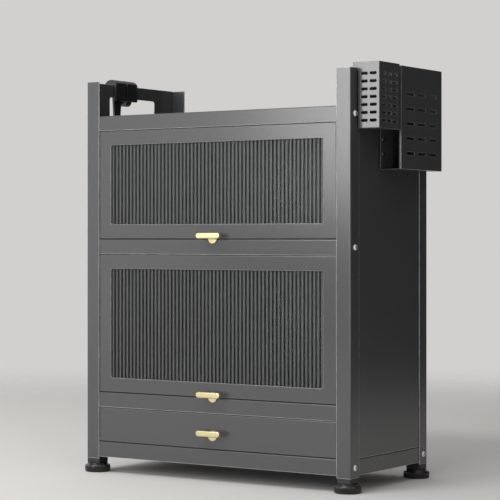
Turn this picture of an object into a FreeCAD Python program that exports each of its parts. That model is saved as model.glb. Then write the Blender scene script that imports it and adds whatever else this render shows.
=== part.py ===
import FreeCAD, Part
import math
import os
from FreeCAD import Vector

# Countertop dish cabinet of folded sheet steel, in millimetres, +Z up.
# It is laid out with X = 0 on the centre line, Y = 0 on the front face of the posts and
# Z = 0 on the surface it stands on. The front looks towards -Y.
# On export everything is shifted so that the origin is the bottom centre of the whole box.

# Carcass, driving dimensions
cabinet_width = 600.0
cabinet_depth = 290.0
upper_opening = 212.0
lower_opening = 270.0
drawer_opening = 68.0
shelf_depth = 29.0
bottom_depth = 30.0
guard_height = 68.0
bottom_lift = 4.0

# Sheet and bends
post_flange = 30.0
post_sheet = 1.5
post_bend = 2.5
panel_sheet = 1.0
panel_bend = 2.0
sheet_gap = 0.3

# Feet
foot_diameter = 50.0
foot_height = 14.0
foot_chamfer = 2.0
foot_ribs = 36
foot_rib_radius = 1.1
foot_inset = 15.0
collar_diameter = 40.0
collar_height = 3.7
collar_round = 1.2
stud_diameter = 8.0
shoe_height = 9.0
shoe_round = 3.0
shoe_plug_clearance = 1.0
running_clearance = 0.05
body_gap = 0.3

# Frame screws
screw_diameter = 6.0
screw_head_diameter = 11.0
screw_head_height = 3.3
screw_head_rim = 0.8
screw_head_flat = 5.0
screw_head_bulge = 0.25
screw_socket = 4.0
screw_socket_depth = 2.0
screw_length = 11.0
nut_across_flats = 10.0
nut_height = 5.0
hole_clearance = 0.2

# Doors
door_gap = 1.0
door_proud = 0.5
door_thickness = 16.0
door_bar = 28.0
door_sheet = 1.2
door_corner = 1.5
window_corner = 3.0
window_lip = 3.0
window_edge_round = 0.8
pin_below_top = 10.0
pin_behind_face = 6.0
pin_diameter = 6.0
pin_head_diameter = 9.0
pin_head_height = 1.5
pin_reach = 17.0
pivot_block_depth = 18.0
pivot_block_height = 18.0
pivot_block_round = 2.0

# Glazing
glass_overlap = 8.0
glass_thickness = 4.0
flute_pitch = 8.5
flute_depth = 1.1
gasket_thickness = 2.0
gasket_width = 6.0
liner_sheet = 1.0
part_gap = 0.2

# Pull handles
pull_length = 54.0
pull_height = 11.0
pull_thickness = 6.0
pull_round = 2.0
pull_projection = 19.5
pull_stem = 7.0
pull_above_edge = 5.6
rosette_diameter = 20.0
rosette_thickness = 2.5
rosette_round = 1.0
rosette_drop = 5.0
pull_screw_diameter = 3.0
pull_screw_head = 5.5
pull_screw_head_height = 2.0
pull_screw_reach = 8.0
drawer_pull_drop = 3.0
pull_key = 2.0
pull_key_depth = 1.2

# Magnetic catches
catch_width = 40.0
catch_depth = 10.0
catch_height = 12.0
catch_round = 1.5
magnet_width = 26.0
magnet_height = 6.0
magnet_thickness = 2.0

# Drawer and runners
tray_clearance = 6.5
tray_sheet = 0.8
tray_height = 50.0
tray_back_gap = 18.0
tray_lift = 4.0
tray_bend = 1.5
tray_rim = 6.0
runner_front = 20.0
runner_rear_gap = 20.0
runner_height = 35.0
runner_sheet = 1.2
runner_depth = 12.7
runner_lip = 11.2
runner_inner_height = 25.0
runner_inner_lip = 5.5
ball_diameter = 3.2
balls_per_row = 4
ball_pitch = 16.0
cage_sheet = 0.6
cage_length = 60.0
cage_web_gap = 1.0
bracket_height = 28.0
bracket_inset = 10.0
drawer_screw_inset = 50.0
drawer_screw_low = 14.0
drawer_screw_pitch = 24.0
drawer_screw_length = 9.0

# Guard rails above the top panel
rail_band = 25.0
rail_leg = 40.0
rail_corner = 5.0
rail_foot = 12.0
rail_foot_inset = 8.0

# Bins hung on the right guard rail
bin_thickness = 45.0
bin_sheet = 1.0
bin_bend = 1.5
bin_standoff = 2.0
slot_end_flat = 0.5
ear_slot = 3.3
ear_reach = 5.0
ear_drop = 6.0
chopstick_front = 21.5
chopstick_length = 75.0
chopstick_height = 120.0
chopstick_above_post = 10.0
chopstick_slot = 14.0
chopstick_slot_height = 5.0
chopstick_row_pitch = 14.1
chopstick_rows = 7
chopstick_first_row = 21.0
chopstick_side_slots = 3
chopstick_side_pitch = 20.5
chopstick_end_slots = 2
chopstick_end_pitch = 18.5
knife_front = 102.7
knife_back_inset = 28.7
knife_height = 189.0
knife_above_post = 8.0
knife_return = 5.0
knife_slot = 29.0
knife_slot_height = 5.5
knife_row_pitch = 27.2
knife_rows = 5
knife_first_row = 50.5
knife_columns = 3
knife_column_pitch = 44.0
knife_hook_width = 30.0
knife_hook_inset = 18.0
knife_button_inset = 10.0
knife_button_clearance = 9.0
knife_button_height = 28.5
knife_button_pitch = 27.0

# Slip-on hooks on the left guard rail
hook_width = 33.0
hook_first = 81.0
hook_pitch = 38.0
hook_inner_leg = 7.2
hook_leg_bottom = 31.0
hook_crown = 11.0
hook_shoulder = 4.0
hook_round = 2.0
hook_reach = 19.5
hook_sheet = 4.0
hook_stem_top = 26.0
hook_stem_bottom = 17.0
hook_stem_length = 76.0
hook_short_stem = 30.0
hook_curl = 6.0
hook_tip = 8.0
hook_root = 2.0

# Wire racks
wire_diameter = 3.0
cross_wire_diameter = 2.5
rack_side_gap = 46.0
rack_front = 32.0
rack_rear_gap = 40.0
rack_corner = 14.0
rack_leg_inset = 34.0
rack_cap_diameter = 6.0
rack_cap_height = 8.0
rack_cap_round = 0.8
bowl_rim = 44.5
bowl_second_rim = 4.5
bowl_dip = 27.0
bowl_wires = 13
bowl_wire_end = 20.0
bowl_wire_bend = 12.0
bowl_rods = 2
bowl_rod_pitch = 72.0
plate_rim = 34.5
plate_loop_height = 31.0
plate_loop_width = 12.0
plate_loops = 17
plate_loop_end = 16.0
plate_row_inset = 40.0
plate_row_rear_inset = 54.0
plate_rest_inset = 41.0

# Rear fixings
back_screw_diameter = 4.0
back_screw_head = 8.0
back_screw_head_height = 2.2
back_screw_rim = 0.5
back_screw_flat = 3.5
back_screw_socket = 2.5
back_screw_depth = 1.2
back_screw_length = 5.0

# Levels worked out from the openings
post_bottom = foot_height + collar_height + body_gap + shoe_height
bottom_edge = post_bottom + bottom_lift
bottom_floor = bottom_edge + bottom_depth
lower_shelf_edge = bottom_floor + drawer_opening
lower_floor = lower_shelf_edge + shelf_depth
middle_shelf_edge = lower_floor + lower_opening
middle_floor = middle_shelf_edge + shelf_depth
top_panel_edge = middle_floor + upper_opening
top_surface = top_panel_edge + shelf_depth
post_top = top_surface + guard_height

# Planes worked out from the sheet thicknesses
half_width = cabinet_width / 2
panel_outer = half_width - post_sheet
inner_bend = post_bend - post_sheet
panel_inner = panel_outer - panel_sheet
front_plane = post_sheet
back_plane = cabinet_depth - post_sheet
opening_half = half_width - post_flange
door_half = opening_half - door_gap
door_face = front_plane - door_proud
door_back = door_face + door_thickness
glass_front = door_face + window_lip + part_gap
glass_back = glass_front + glass_thickness
gasket_back = glass_back + gasket_thickness
pull_front = door_face - pull_projection
pull_back = pull_front + pull_thickness
bin_back = half_width + bin_standoff
bin_outside = bin_back + bin_thickness
rail_inner = panel_outer - panel_sheet
tray_half = opening_half - tray_clearance
shoe_plug = (bottom_lift + bottom_depth / 2 - nut_across_flats / math.sqrt(3) - shoe_plug_clearance)
tray_bottom = bottom_floor + tray_lift
tray_back = back_plane - tray_back_gap
knife_length = cabinet_depth - knife_back_inset - knife_front
runner_middle = tray_bottom + tray_height / 2
runner_length = cabinet_depth - runner_front - runner_rear_gap
rack_half_length = opening_half - rack_side_gap
rack_back = cabinet_depth - rack_rear_gap
bowl_wire_pitch = 2 * (rack_half_length - bowl_wire_end) / (bowl_wires - 1)
plate_loop_pitch = 2 * (rack_half_length - plate_loop_end) / (plate_loops - 1)
plate_row_front = rack_front + plate_row_inset
plate_row_back = rack_back - plate_row_rear_inset
plate_rest_front = plate_row_front + plate_rest_inset
plate_rest_back = plate_row_back - plate_rest_inset
hook_outside = panel_outer + body_gap + max(hook_reach, 2 * (hook_curl + hook_sheet))

# Whole outline, which gives the place of the origin
outline_left = -max(hook_outside, half_width - foot_inset + foot_diameter / 2)
outline_right = max(bin_outside, half_width - foot_inset + foot_diameter / 2)
outline_front = min(pull_front, foot_inset - foot_diameter / 2)
outline_back = cabinet_depth - min(0.0, foot_inset - foot_diameter / 2)
origin_x = (outline_left + outline_right) / 2
origin_y = (outline_front + outline_back) / 2


def slab(x0, x1, y0, y1, z0, z1):
    """Box between two corners."""
    return Part.makeBox(x1 - x0, y1 - y0, z1 - z0, Vector(x0, y0, z0))


def rod(start, direction, length, radius):
    """Round bar from a start point along a direction."""
    return Part.makeCylinder(radius, length, start, direction)


def mirrored(shape):
    """The same piece for the other side of the cabinet."""
    return shape.mirror(Vector(0, 0, 0), Vector(1, 0, 0))


def moved(shape, x, y, z):
    """A copy of the shape at another place."""
    copy = shape.copy()
    copy.translate(Vector(x, y, z))
    return copy


def edges_where(shape, test):
    """Edges whose vertices all pass a test."""
    return [edge for edge in shape.Edges if all(test(vertex.Point) for vertex in edge.Vertexes)]


def near(a, b):
    return abs(a - b) < 1e-4


def group(shapes):
    """Several separate solids kept as one node."""
    return Part.makeCompound(shapes)


def rounded_slab(x0, x1, y0, y1, z0, z1, radius, axis):
    """Box whose four edges along one axis are rounded."""
    box = slab(x0, x1, y0, y1, z0, z1)
    along = {"x": 0, "y": 1, "z": 2}[axis]
    picked = []
    for edge in box.Edges:
        first, last = edge.Vertexes[0].Point, edge.Vertexes[1].Point
        if not near(first[along], last[along]):
            picked.append(edge)
    return box.makeFillet(radius, picked)


def arc(start, middle, end):
    return Part.Arc(start, middle, end).toShape()


def line(start, end):
    return Part.LineSegment(start, end).toShape()


def prism(edges, direction):
    """Solid swept from a flat closed outline."""
    return Part.Face(Part.Wire(edges)).extrude(direction)


def turned(profile, centre, axis):
    """Solid turned from a flat closed outline."""
    return Part.Face(Part.makePolygon(profile + [profile[0]])).revolve(centre, axis, 360)


def folded_pan(x0, x1, y0, y1, top, depth):
    """Sheet folded down on all four sides, with a soft bend along the top."""
    outer = slab(x0, x1, y0, y1, top - depth, top)
    bends = edges_where(outer, lambda p: near(p.z, top))
    bends += [edge for edge in outer.Edges if abs(edge.Vertexes[0].Z - edge.Vertexes[1].Z) > depth / 2]
    outer = outer.makeFillet(panel_bend, bends)
    inside = slab(x0 + panel_sheet, x1 - panel_sheet, y0 + panel_sheet, y1 - panel_sheet,
                  top - depth - panel_sheet, top - panel_sheet)
    corners = edges_where(inside, lambda p: near(p.z, top - panel_sheet))
    corners += [edge for edge in inside.Edges if abs(edge.Vertexes[0].Z - edge.Vertexes[1].Z) > depth / 2]
    return outer.cut(inside.makeFillet(panel_bend - panel_sheet, corners))


def wire_path(points, bends):
    """Straight runs joined by tangent arcs; one bend radius for each inner point."""
    edges = []
    start = points[0]
    for i in range(1, len(points) - 1):
        corner = points[i]
        before = (points[i - 1] - corner).normalize()
        after = (points[i + 1] - corner).normalize()
        half_turn = before.getAngle(after) / 2
        back = bends[i - 1] / math.tan(half_turn)
        into = corner + before * back
        out = corner + after * back
        bisector = (before + after).normalize()
        middle = corner + bisector * (bends[i - 1] / math.sin(half_turn) - bends[i - 1])
        edges.append(line(start, into))
        edges.append(arc(into, middle, out))
        start = out
    edges.append(line(start, points[-1]))
    return Part.Wire(edges)


def bent_wire(path, diameter):
    """Round wire along a path that starts at the centre of its first end."""
    first = path.Edges[0]
    direction = first.tangentAt(first.FirstParameter)
    section = Part.Wire(Part.makeCircle(diameter / 2, first.valueAt(first.FirstParameter), direction))
    return path.makePipeShell([section], True, True)


def wire_ring(z, front, back, half_length, corner):
    """Closed rectangular ring of round wire with bent corners."""
    middle = Vector(0, front, z)
    points = [middle, Vector(half_length, front, z), Vector(half_length, back, z),
              Vector(-half_length, back, z), Vector(-half_length, front, z), middle]
    return bent_wire(wire_path(points, [corner] * 4), wire_diameter)


def socket_screw(diameter, head_diameter, head_height, rim, flat, socket, depth, length):
    """Button-head screw along Z: the head stands above Z = 0 and the shank goes down."""
    head_radius = head_diameter / 2
    sag = Vector((head_radius + flat / 2) / 2 + screw_head_bulge, 0,
                 (rim + head_height) / 2 + screw_head_bulge)
    outline = [
        line(Vector(0, 0, 0), Vector(head_radius, 0, 0)),
        line(Vector(head_radius, 0, 0), Vector(head_radius, 0, rim)),
        arc(Vector(head_radius, 0, rim), sag, Vector(flat / 2, 0, head_height)),
        line(Vector(flat / 2, 0, head_height), Vector(0, 0, head_height)),
        line(Vector(0, 0, head_height), Vector(0, 0, 0)),
    ]
    head = Part.Face(Part.Wire(outline)).revolve(Vector(0, 0, 0), Vector(0, 0, 1), 360)
    shank = rod(Vector(0, 0, -length), Vector(0, 0, 1), length + head_height / 4, diameter / 2)
    key = hexagon(socket, head_height - depth, depth + 1)
    return head.fuse(shank).cut(key).removeSplitter()


def hexagon(across_flats, z, height):
    """Six-sided bar standing on Z = z."""
    radius = across_flats / math.sqrt(3)
    corners = [Vector(radius * math.cos(math.radians(60 * i)), radius * math.sin(math.radians(60 * i)), z)
               for i in range(7)]
    return Part.Face(Part.makePolygon(corners)).extrude(Vector(0, 0, height))


def aimed(shape, direction):
    """A shape made along +Z, turned to point along another direction."""
    copy = shape.copy()
    copy.Placement = FreeCAD.Placement(Vector(0, 0, 0), FreeCAD.Rotation(Vector(0, 0, 1), direction))
    return copy


def post(x_sign, at_front):
    """Corner post of folded angle with a rounded outer corner."""
    outer = slab(half_width - post_flange, half_width, 0, post_flange, post_bottom, post_top)
    corner = edges_where(outer, lambda p: near(p.x, half_width) and near(p.y, 0))
    outer = outer.makeFillet(post_bend, corner)
    inner = slab(half_width - post_flange - 1, half_width - post_sheet, post_sheet, post_flange + 1,
                 post_bottom - 1, post_top + 1)
    corner = edges_where(inner, lambda p: near(p.x, half_width - post_sheet) and near(p.y, post_sheet))
    angle = outer.cut(inner.makeFillet(inner_bend, corner))
    for height in front_screw_levels() if at_front else back_screw_levels():
        angle = angle.cut(rod(Vector(half_width - post_sheet - 1, foot_inset, height), Vector(1, 0, 0),
                              post_sheet + 2, screw_diameter / 2 + hole_clearance))
    if not at_front:
        angle = angle.mirror(Vector(0, cabinet_depth / 2, 0), Vector(0, 1, 0))
        for height in back_panel_levels():
            start = Vector(half_width - foot_inset, cabinet_depth + 1, height)
            angle = angle.cut(rod(start, Vector(0, -1, 0), post_sheet + 2,
                                  back_screw_diameter / 2 + hole_clearance))
    return angle if x_sign > 0 else mirrored(angle)


def back_panel_levels():
    """Heights of the back panel's screws: one in each short opening and two in the tall one."""
    return [bottom_floor + drawer_opening / 2, lower_floor + lower_opening / 4,
            lower_floor + lower_opening * 3 / 4, middle_floor + upper_opening / 2]


def front_screw_levels():
    """Middle heights of the pans that are screwed to the front posts."""
    return [bottom_edge + bottom_depth / 2, middle_shelf_edge + shelf_depth / 2,
            top_panel_edge + shelf_depth / 2]


def back_screw_levels():
    """The rear posts hold the bottom and the top pan only."""
    levels = front_screw_levels()
    return [levels[0], levels[2]]


def frame_screw_places():
    """Axis points of the frame screws on the right-hand side."""
    places = [(foot_inset, height) for height in front_screw_levels()]
    places += [(cabinet_depth - foot_inset, height) for height in back_screw_levels()]
    return places


def drilled_pan(x_half, y0, y1, top, depth, rows):
    """Folded pan with screw holes in its side lips; rows lists the Y of each hole."""
    pan = folded_pan(-x_half, x_half, y0, y1, top, depth)
    for y in rows:
        pan = pan.cut(rod(Vector(-x_half - 1, y, top - depth / 2), Vector(1, 0, 0), 2 * x_half + 2,
                          screw_diameter / 2 + hole_clearance))
    return pan


def side_panel():
    """Right side panel, welded inside the side flanges of the posts."""
    sheet = slab(panel_inner, panel_outer, front_plane + inner_bend, back_plane - inner_bend,
                 bottom_floor + sheet_gap, top_panel_edge - sheet_gap)
    height = middle_shelf_edge + shelf_depth / 2
    return sheet.cut(rod(Vector(panel_inner - 1, foot_inset, height), Vector(1, 0, 0), panel_sheet + 2,
                         screw_diameter / 2 + hole_clearance))


def back_panel():
    """Sheet behind the shelves, screwed to the rear posts."""
    half = panel_inner - sheet_gap
    sheet = slab(-half, half, back_plane - panel_sheet, back_plane, bottom_floor + sheet_gap,
                 top_panel_edge - sheet_gap)
    for height in back_panel_levels():
        for sign in (-1, 1):
            start = Vector(sign * (half_width - foot_inset), back_plane + 1, height)
            sheet = sheet.cut(rod(start, Vector(0, -1, 0), panel_sheet + 2,
                                  back_screw_diameter / 2 + hole_clearance))
    return sheet


def guard_rail():
    """Right guard rail: a band on two legs with a foot flange on the top panel."""
    z0 = top_surface
    y0 = front_plane + inner_bend
    y1 = back_plane - inner_bend
    plate = slab(rail_inner, panel_outer, y0, y1, z0, post_top)
    leg = post_flange + rail_leg
    gap = slab(rail_inner - 1, panel_outer + 1, leg, cabinet_depth - leg, z0 - 1, post_top - rail_band)
    corners = [edge for edge in edges_where(gap, lambda p: near(p.z, post_top - rail_band))
               if edge.BoundBox.XLength > 1]
    plate = plate.cut(gap.makeFillet(rail_corner, corners))
    for start, end in ((y0 + rail_foot_inset, leg), (cabinet_depth - leg, y1 - rail_foot_inset)):
        plate = plate.fuse(slab(panel_outer - rail_foot, rail_inner, start, end, z0, z0 + panel_sheet))
    return plate.removeSplitter()


def post_shoe():
    """Plastic end shoe of the right front post with a plug inside the folded corner."""
    top = post_bottom
    base = rounded_slab(half_width - post_flange, half_width, 0, post_flange, top - shoe_height, top,
                        shoe_round, "z")
    plug_out = panel_inner - body_gap
    plug_front = front_plane + panel_sheet + body_gap
    plug = slab(half_width - post_flange + 2, plug_out, plug_front, post_flange - 2, top, top + shoe_plug)
    bore = rod(Vector(half_width - foot_inset, foot_inset, top - shoe_height - 1), Vector(0, 0, 1),
               shoe_height + shoe_plug + 2, stud_diameter / 2 + running_clearance)
    return base.fuse(plug).cut(bore).removeSplitter()


def foot(x, y):
    """Ribbed levelling foot with its collar and stud, turning about its own axis."""
    puck = Part.makeCylinder(foot_diameter / 2, foot_height, Vector(x, y, 0))
    puck = puck.makeChamfer(foot_chamfer, edges_where(puck, lambda p: near(p.z, foot_height)))
    for i in range(foot_ribs):
        turn = 2 * math.pi * i / foot_ribs
        place = Vector(x + foot_diameter / 2 * math.cos(turn), y + foot_diameter / 2 * math.sin(turn), -1)
        puck = puck.cut(rod(place, Vector(0, 0, 1), foot_height + 2, foot_rib_radius))
    collar = Part.makeCylinder(collar_diameter / 2, collar_height, Vector(x, y, foot_height))
    top = foot_height + collar_height
    collar = collar.makeFillet(collar_round, edges_where(collar, lambda p: near(p.z, top)))
    stud_length = body_gap + shoe_height + shoe_plug
    stud = rod(Vector(x, y, top - 1), Vector(0, 0, 1), stud_length, stud_diameter / 2)
    return puck.fuse(collar).fuse(stud).removeSplitter()


def frame_screws():
    """Screws of both sides, with their heads on the side flanges of the posts."""
    screw = socket_screw(screw_diameter, screw_head_diameter, screw_head_height, screw_head_rim,
                         screw_head_flat, screw_socket, screw_socket_depth, screw_length)
    right = [moved(aimed(screw, Vector(1, 0, 0)), half_width, y, z) for y, z in frame_screw_places()]
    return group(right + [mirrored(shape) for shape in right])


def frame_nuts():
    """Nuts behind the side lips of the pans."""
    nut = hexagon(nut_across_flats, -nut_height, nut_height)
    nut = nut.cut(rod(Vector(0, 0, -nut_height - 1), Vector(0, 0, 1), nut_height + 2,
                      screw_diameter / 2 + running_clearance))
    right = []
    for y, z in frame_screw_places():
        inner_lip = panel_inner
        if near(z, middle_shelf_edge + shelf_depth / 2):
            inner_lip = panel_inner - panel_sheet
        right.append(moved(aimed(nut, Vector(1, 0, 0)), inner_lip, y, z))
    return group(right + [mirrored(shape) for shape in right])


def back_panel_screws():
    """Small screws along both rear posts."""
    screw = socket_screw(back_screw_diameter, back_screw_head, back_screw_head_height, back_screw_rim,
                         back_screw_flat, back_screw_socket, back_screw_depth, back_screw_length)
    aimed_back = aimed(screw, Vector(0, 1, 0))
    return group([moved(aimed_back, sign * (half_width - foot_inset), cabinet_depth, height)
                  for sign in (-1, 1) for height in back_panel_levels()])


def pivot_blocks(door_top):
    """Pair of plastic bearing blocks behind the front flanges of the posts."""
    x0 = opening_half + body_gap
    z = door_top - pin_below_top
    block = slab(x0, panel_inner, front_plane, front_plane + pivot_block_depth,
                 z - pivot_block_height / 2, z + pivot_block_height / 2)
    back = front_plane + pivot_block_depth
    block = block.makeFillet(pivot_block_round, [
        edge for edge in edges_where(block, lambda p: near(p.y, back)) if edge.BoundBox.XLength > 1])
    bore = rod(Vector(x0 - 1, door_face + pin_behind_face, z), Vector(1, 0, 0), pin_reach + 2,
               pin_diameter / 2 + running_clearance)
    block = block.cut(bore)
    return group([block, mirrored(block)])


def catch(floor):
    """Magnetic catch on the shelf behind the lower edge of a door, with its magnet."""
    y0 = door_back + body_gap
    body = slab(-catch_width / 2, catch_width / 2, y0, y0 + catch_depth, floor, floor + catch_height)
    rounded = [edge for edge in edges_where(body, lambda p: near(p.z, floor + catch_height))]
    body = body.makeFillet(catch_round, rounded)
    z = floor + catch_height / 2
    pocket = slab(-magnet_width / 2, magnet_width / 2, y0 - 1, y0 + magnet_thickness,
                  z - magnet_height / 2, z + magnet_height / 2)
    magnet = slab(-magnet_width / 2, magnet_width / 2, y0, y0 + magnet_thickness,
                  z - magnet_height / 2, z + magnet_height / 2)
    return body.cut(pocket), magnet


def door_frame(bottom, top):
    """Folded front frame of a door: outer skirt, face and a lip round the window."""
    z0 = bottom + door_gap
    z1 = top - door_gap
    outer = slab(-door_half, door_half, door_face, door_back, z0, z1)
    front = edges_where(outer, lambda p: near(p.y, door_face))
    along = [edge for edge in outer.Edges if edge.BoundBox.YLength > 1]
    outer = outer.makeFillet(door_corner, front + along)
    inside = slab(-door_half + door_sheet, door_half - door_sheet, door_face + door_sheet, door_back + 1,
                  z0 + door_sheet, z1 - door_sheet)
    shell = outer.cut(inside)
    rim = door_bar - door_sheet
    lip = rounded_slab(-door_half + rim, door_half - rim, door_face + door_sheet / 2,
                       door_face + window_lip, z0 + rim, z1 - rim, window_corner + door_sheet, "y")
    window = rounded_slab(-door_half + door_bar, door_half - door_bar, door_face - 1, door_back,
                          z0 + door_bar, z1 - door_bar, window_corner, "y")
    shell = shell.fuse(lip).cut(window)
    window_edges = edges_where(shell, lambda p: near(p.y, door_face) and abs(p.x) < door_half - rim
                               and z0 + rim < p.z < z1 - rim)
    shell = shell.makeFillet(window_edge_round, window_edges)
    pin_z = top - door_gap - pin_below_top
    shell = shell.cut(rod(Vector(-door_half - 1, door_face + pin_behind_face, pin_z), Vector(1, 0, 0),
                          2 * door_half + 2, pin_diameter / 2 + running_clearance))
    pull_z = bottom + door_gap + pull_above_edge
    shell = shell.cut(rod(Vector(0, door_face - 1, pull_z), Vector(0, 1, 0), door_sheet + 2,
                          pull_screw_diameter / 2 + hole_clearance))
    return shell.removeSplitter()


def door_liner(bottom, top):
    """Rear cover of the door frame; its inner skirt holds the glass and its gasket."""
    inset = door_sheet + part_gap
    z0 = bottom + door_gap + inset
    z1 = top - door_gap - inset
    half = door_half - inset
    plate = slab(-half, half, door_back - liner_sheet, door_back, z0, z1)
    bar = door_bar - inset
    skirt = slab(-half + bar - liner_sheet, half - bar + liner_sheet, gasket_back, door_back,
                 z0 + bar - liner_sheet, z1 - bar + liner_sheet)
    window = slab(-half + bar, half - bar, gasket_back - 1, door_back + 1, z0 + bar, z1 - bar)
    return plate.fuse(skirt).cut(window).removeSplitter()


def door_glass(bottom, top):
    """Reeded glass pane: a row of rounded flutes along Z on the front face."""
    half = door_half - door_bar + glass_overlap
    z0 = bottom + door_gap + door_bar - glass_overlap
    z1 = top - door_gap - door_bar + glass_overlap
    count = int(2 * half / flute_pitch)
    margin = half - count * flute_pitch / 2
    valley = glass_front + flute_depth
    edges = [line(Vector(-half, glass_back, z0), Vector(-half, valley, z0)),
             line(Vector(-half, valley, z0), Vector(-half + margin, valley, z0))]
    x = -half + margin
    for i in range(count):
        edges.append(arc(Vector(x, valley, z0), Vector(x + flute_pitch / 2, glass_front, z0),
                         Vector(x + flute_pitch, valley, z0)))
        x += flute_pitch
    edges += [line(Vector(x, valley, z0), Vector(half, valley, z0)),
              line(Vector(half, valley, z0), Vector(half, glass_back, z0)),
              line(Vector(half, glass_back, z0), Vector(-half, glass_back, z0))]
    return prism(edges, Vector(0, 0, z1 - z0))


def door_gasket(bottom, top):
    """Rubber ring between the pane and the rear cover."""
    half = door_half - door_bar + gasket_width
    z0 = bottom + door_gap + door_bar - gasket_width
    z1 = top - door_gap - door_bar + gasket_width
    ring = slab(-half, half, glass_back, gasket_back, z0, z1)
    hole = slab(-half + gasket_width, half - gasket_width, glass_back - 1, gasket_back + 1,
                z0 + gasket_width, z1 - gasket_width)
    return ring.cut(hole)


def pull(z, face):
    """Cast pull: flat bar with round ends, stem and a round rosette set lower."""
    straight = pull_length / 2 - pull_height / 2
    high = pull_height / 2
    outline = [line(Vector(-straight, pull_front, z - high), Vector(straight, pull_front, z - high)),
               arc(Vector(straight, pull_front, z - high), Vector(straight + high, pull_front, z),
                   Vector(straight, pull_front, z + high)),
               line(Vector(straight, pull_front, z + high), Vector(-straight, pull_front, z + high)),
               arc(Vector(-straight, pull_front, z + high), Vector(-straight - high, pull_front, z),
                   Vector(-straight, pull_front, z - high))]
    bar = prism(outline, Vector(0, pull_thickness, 0))
    bar = bar.makeFillet(pull_round, edges_where(bar, lambda p: near(p.y, pull_front)))
    rosette = rod(Vector(0, face - rosette_thickness, z - rosette_drop), Vector(0, 1, 0), rosette_thickness,
                  rosette_diameter / 2)
    rim = edges_where(rosette, lambda p: near(p.y, face - rosette_thickness))
    rosette = rosette.makeFillet(rosette_round, rim)
    stem = rod(Vector(0, pull_back - 1, z), Vector(0, 1, 0), face - rosette_thickness - pull_back + 1.5,
               pull_stem / 2)
    bore = rod(Vector(0, face - pull_screw_reach, z), Vector(0, 1, 0), pull_screw_reach + 1,
               pull_screw_diameter / 2 + running_clearance)
    return bar.fuse(stem).fuse(rosette).cut(bore).removeSplitter()


def pull_screw(z, seat):
    """Screw that holds a pull from behind the sheet whose rear face is the seat."""
    head = rod(Vector(0, seat, z), Vector(0, 1, 0), pull_screw_head_height, pull_screw_head / 2)
    shank = rod(Vector(0, door_face - pull_screw_reach + 1, z), Vector(0, 1, 0),
                seat - door_face + pull_screw_reach - 1, pull_screw_diameter / 2)
    key = aimed(hexagon(pull_key, 0, pull_screw_head_height), Vector(0, 1, 0))
    key_start = seat + pull_screw_head_height - pull_key_depth
    return head.fuse(shank).cut(moved(key, 0, key_start, z)).removeSplitter()


def pivot_pins(top):
    """Pair of headed pins that carry a door in its bearing blocks."""
    z = top - door_gap - pin_below_top
    inner = door_half - door_sheet
    shank_end = opening_half + body_gap + pin_reach - 2
    pin = rod(Vector(inner - pin_head_height, door_face + pin_behind_face, z), Vector(1, 0, 0),
              shank_end - inner + pin_head_height, pin_diameter / 2)
    head = rod(Vector(inner - pin_head_height, door_face + pin_behind_face, z), Vector(1, 0, 0),
               pin_head_height, pin_head_diameter / 2)
    pin = pin.fuse(head).removeSplitter()
    return group([pin, mirrored(pin)])


def drawer_front():
    """Folded drawer front, open at the back."""
    z0 = bottom_floor + door_gap
    z1 = lower_shelf_edge - door_gap
    outer = slab(-door_half, door_half, door_face, door_back, z0, z1)
    front = edges_where(outer, lambda p: near(p.y, door_face))
    along = [edge for edge in outer.Edges if edge.BoundBox.YLength > 1]
    outer = outer.makeFillet(door_corner, front + along)
    inside = slab(-door_half + door_sheet, door_half - door_sheet, door_face + door_sheet, door_back + 1,
                  z0 + door_sheet, z1 - door_sheet)
    shell = outer.cut(inside)
    shell = shell.cut(rod(Vector(0, door_face - 1, drawer_pull_level()), Vector(0, 1, 0), door_sheet + 2,
                          pull_screw_diameter / 2 + hole_clearance))
    return shell.removeSplitter()


def drawer_pull_level():
    return (bottom_floor + lower_shelf_edge) / 2 - drawer_pull_drop


def drawer_tray():
    """Open tray behind the drawer front, with a flange that closes the front's rear side."""
    y0 = door_back
    box = slab(-tray_half, tray_half, y0, tray_back, tray_bottom, tray_bottom + tray_height)
    folds = edges_where(box, lambda p: near(p.z, tray_bottom))
    folds += [edge for edge in edges_where(box, lambda p: near(p.y, tray_back))
              if edge.BoundBox.ZLength > 1]
    box = box.makeFillet(tray_bend, folds)
    inside = slab(-tray_half + tray_sheet, tray_half - tray_sheet, y0 + tray_sheet, tray_back - tray_sheet,
                  tray_bottom + tray_sheet, tray_bottom + tray_height + 1)
    tray = box.cut(inside)
    rim_z = tray_bottom + tray_height - tray_sheet
    rear_rim = slab(-tray_half + tray_sheet, tray_half - tray_sheet, tray_back - tray_rim,
                    tray_back - tray_sheet, rim_z, rim_z + tray_sheet)
    tray = tray.fuse(rear_rim)
    inset = door_sheet + part_gap
    cover_z0 = bottom_floor + door_gap + inset
    cover_z1 = lower_shelf_edge - door_gap - inset
    half = door_half - inset
    cover = slab(-half, half, y0 - tray_sheet, y0, cover_z0, cover_z1)
    tray = tray.fuse(cover)
    for x, z in drawer_screw_places():
        tray = tray.cut(rod(Vector(x, y0 - tray_sheet - 1, z), Vector(0, 1, 0), 2 * tray_sheet + 2,
                            back_screw_diameter / 2 + hole_clearance))
    return tray.removeSplitter()


def drawer_screw_places():
    """Four screws that hold the front to the tray."""
    low = tray_bottom + drawer_screw_low
    return [(sign * (tray_half - drawer_screw_inset), low + drawer_screw_pitch * i)
            for sign in (-1, 1) for i in range(2)]


def drawer_front_screws():
    """Screws from inside the tray into welded nuts of the drawer front."""
    seat = door_back + tray_sheet
    screw = socket_screw(back_screw_diameter, back_screw_head, back_screw_head_height, back_screw_rim,
                         back_screw_flat, back_screw_socket, back_screw_depth, drawer_screw_length)
    aimed_in = aimed(screw, Vector(0, 1, 0))
    return group([moved(aimed_in, x, seat, z) for x, z in drawer_screw_places()])


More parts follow.
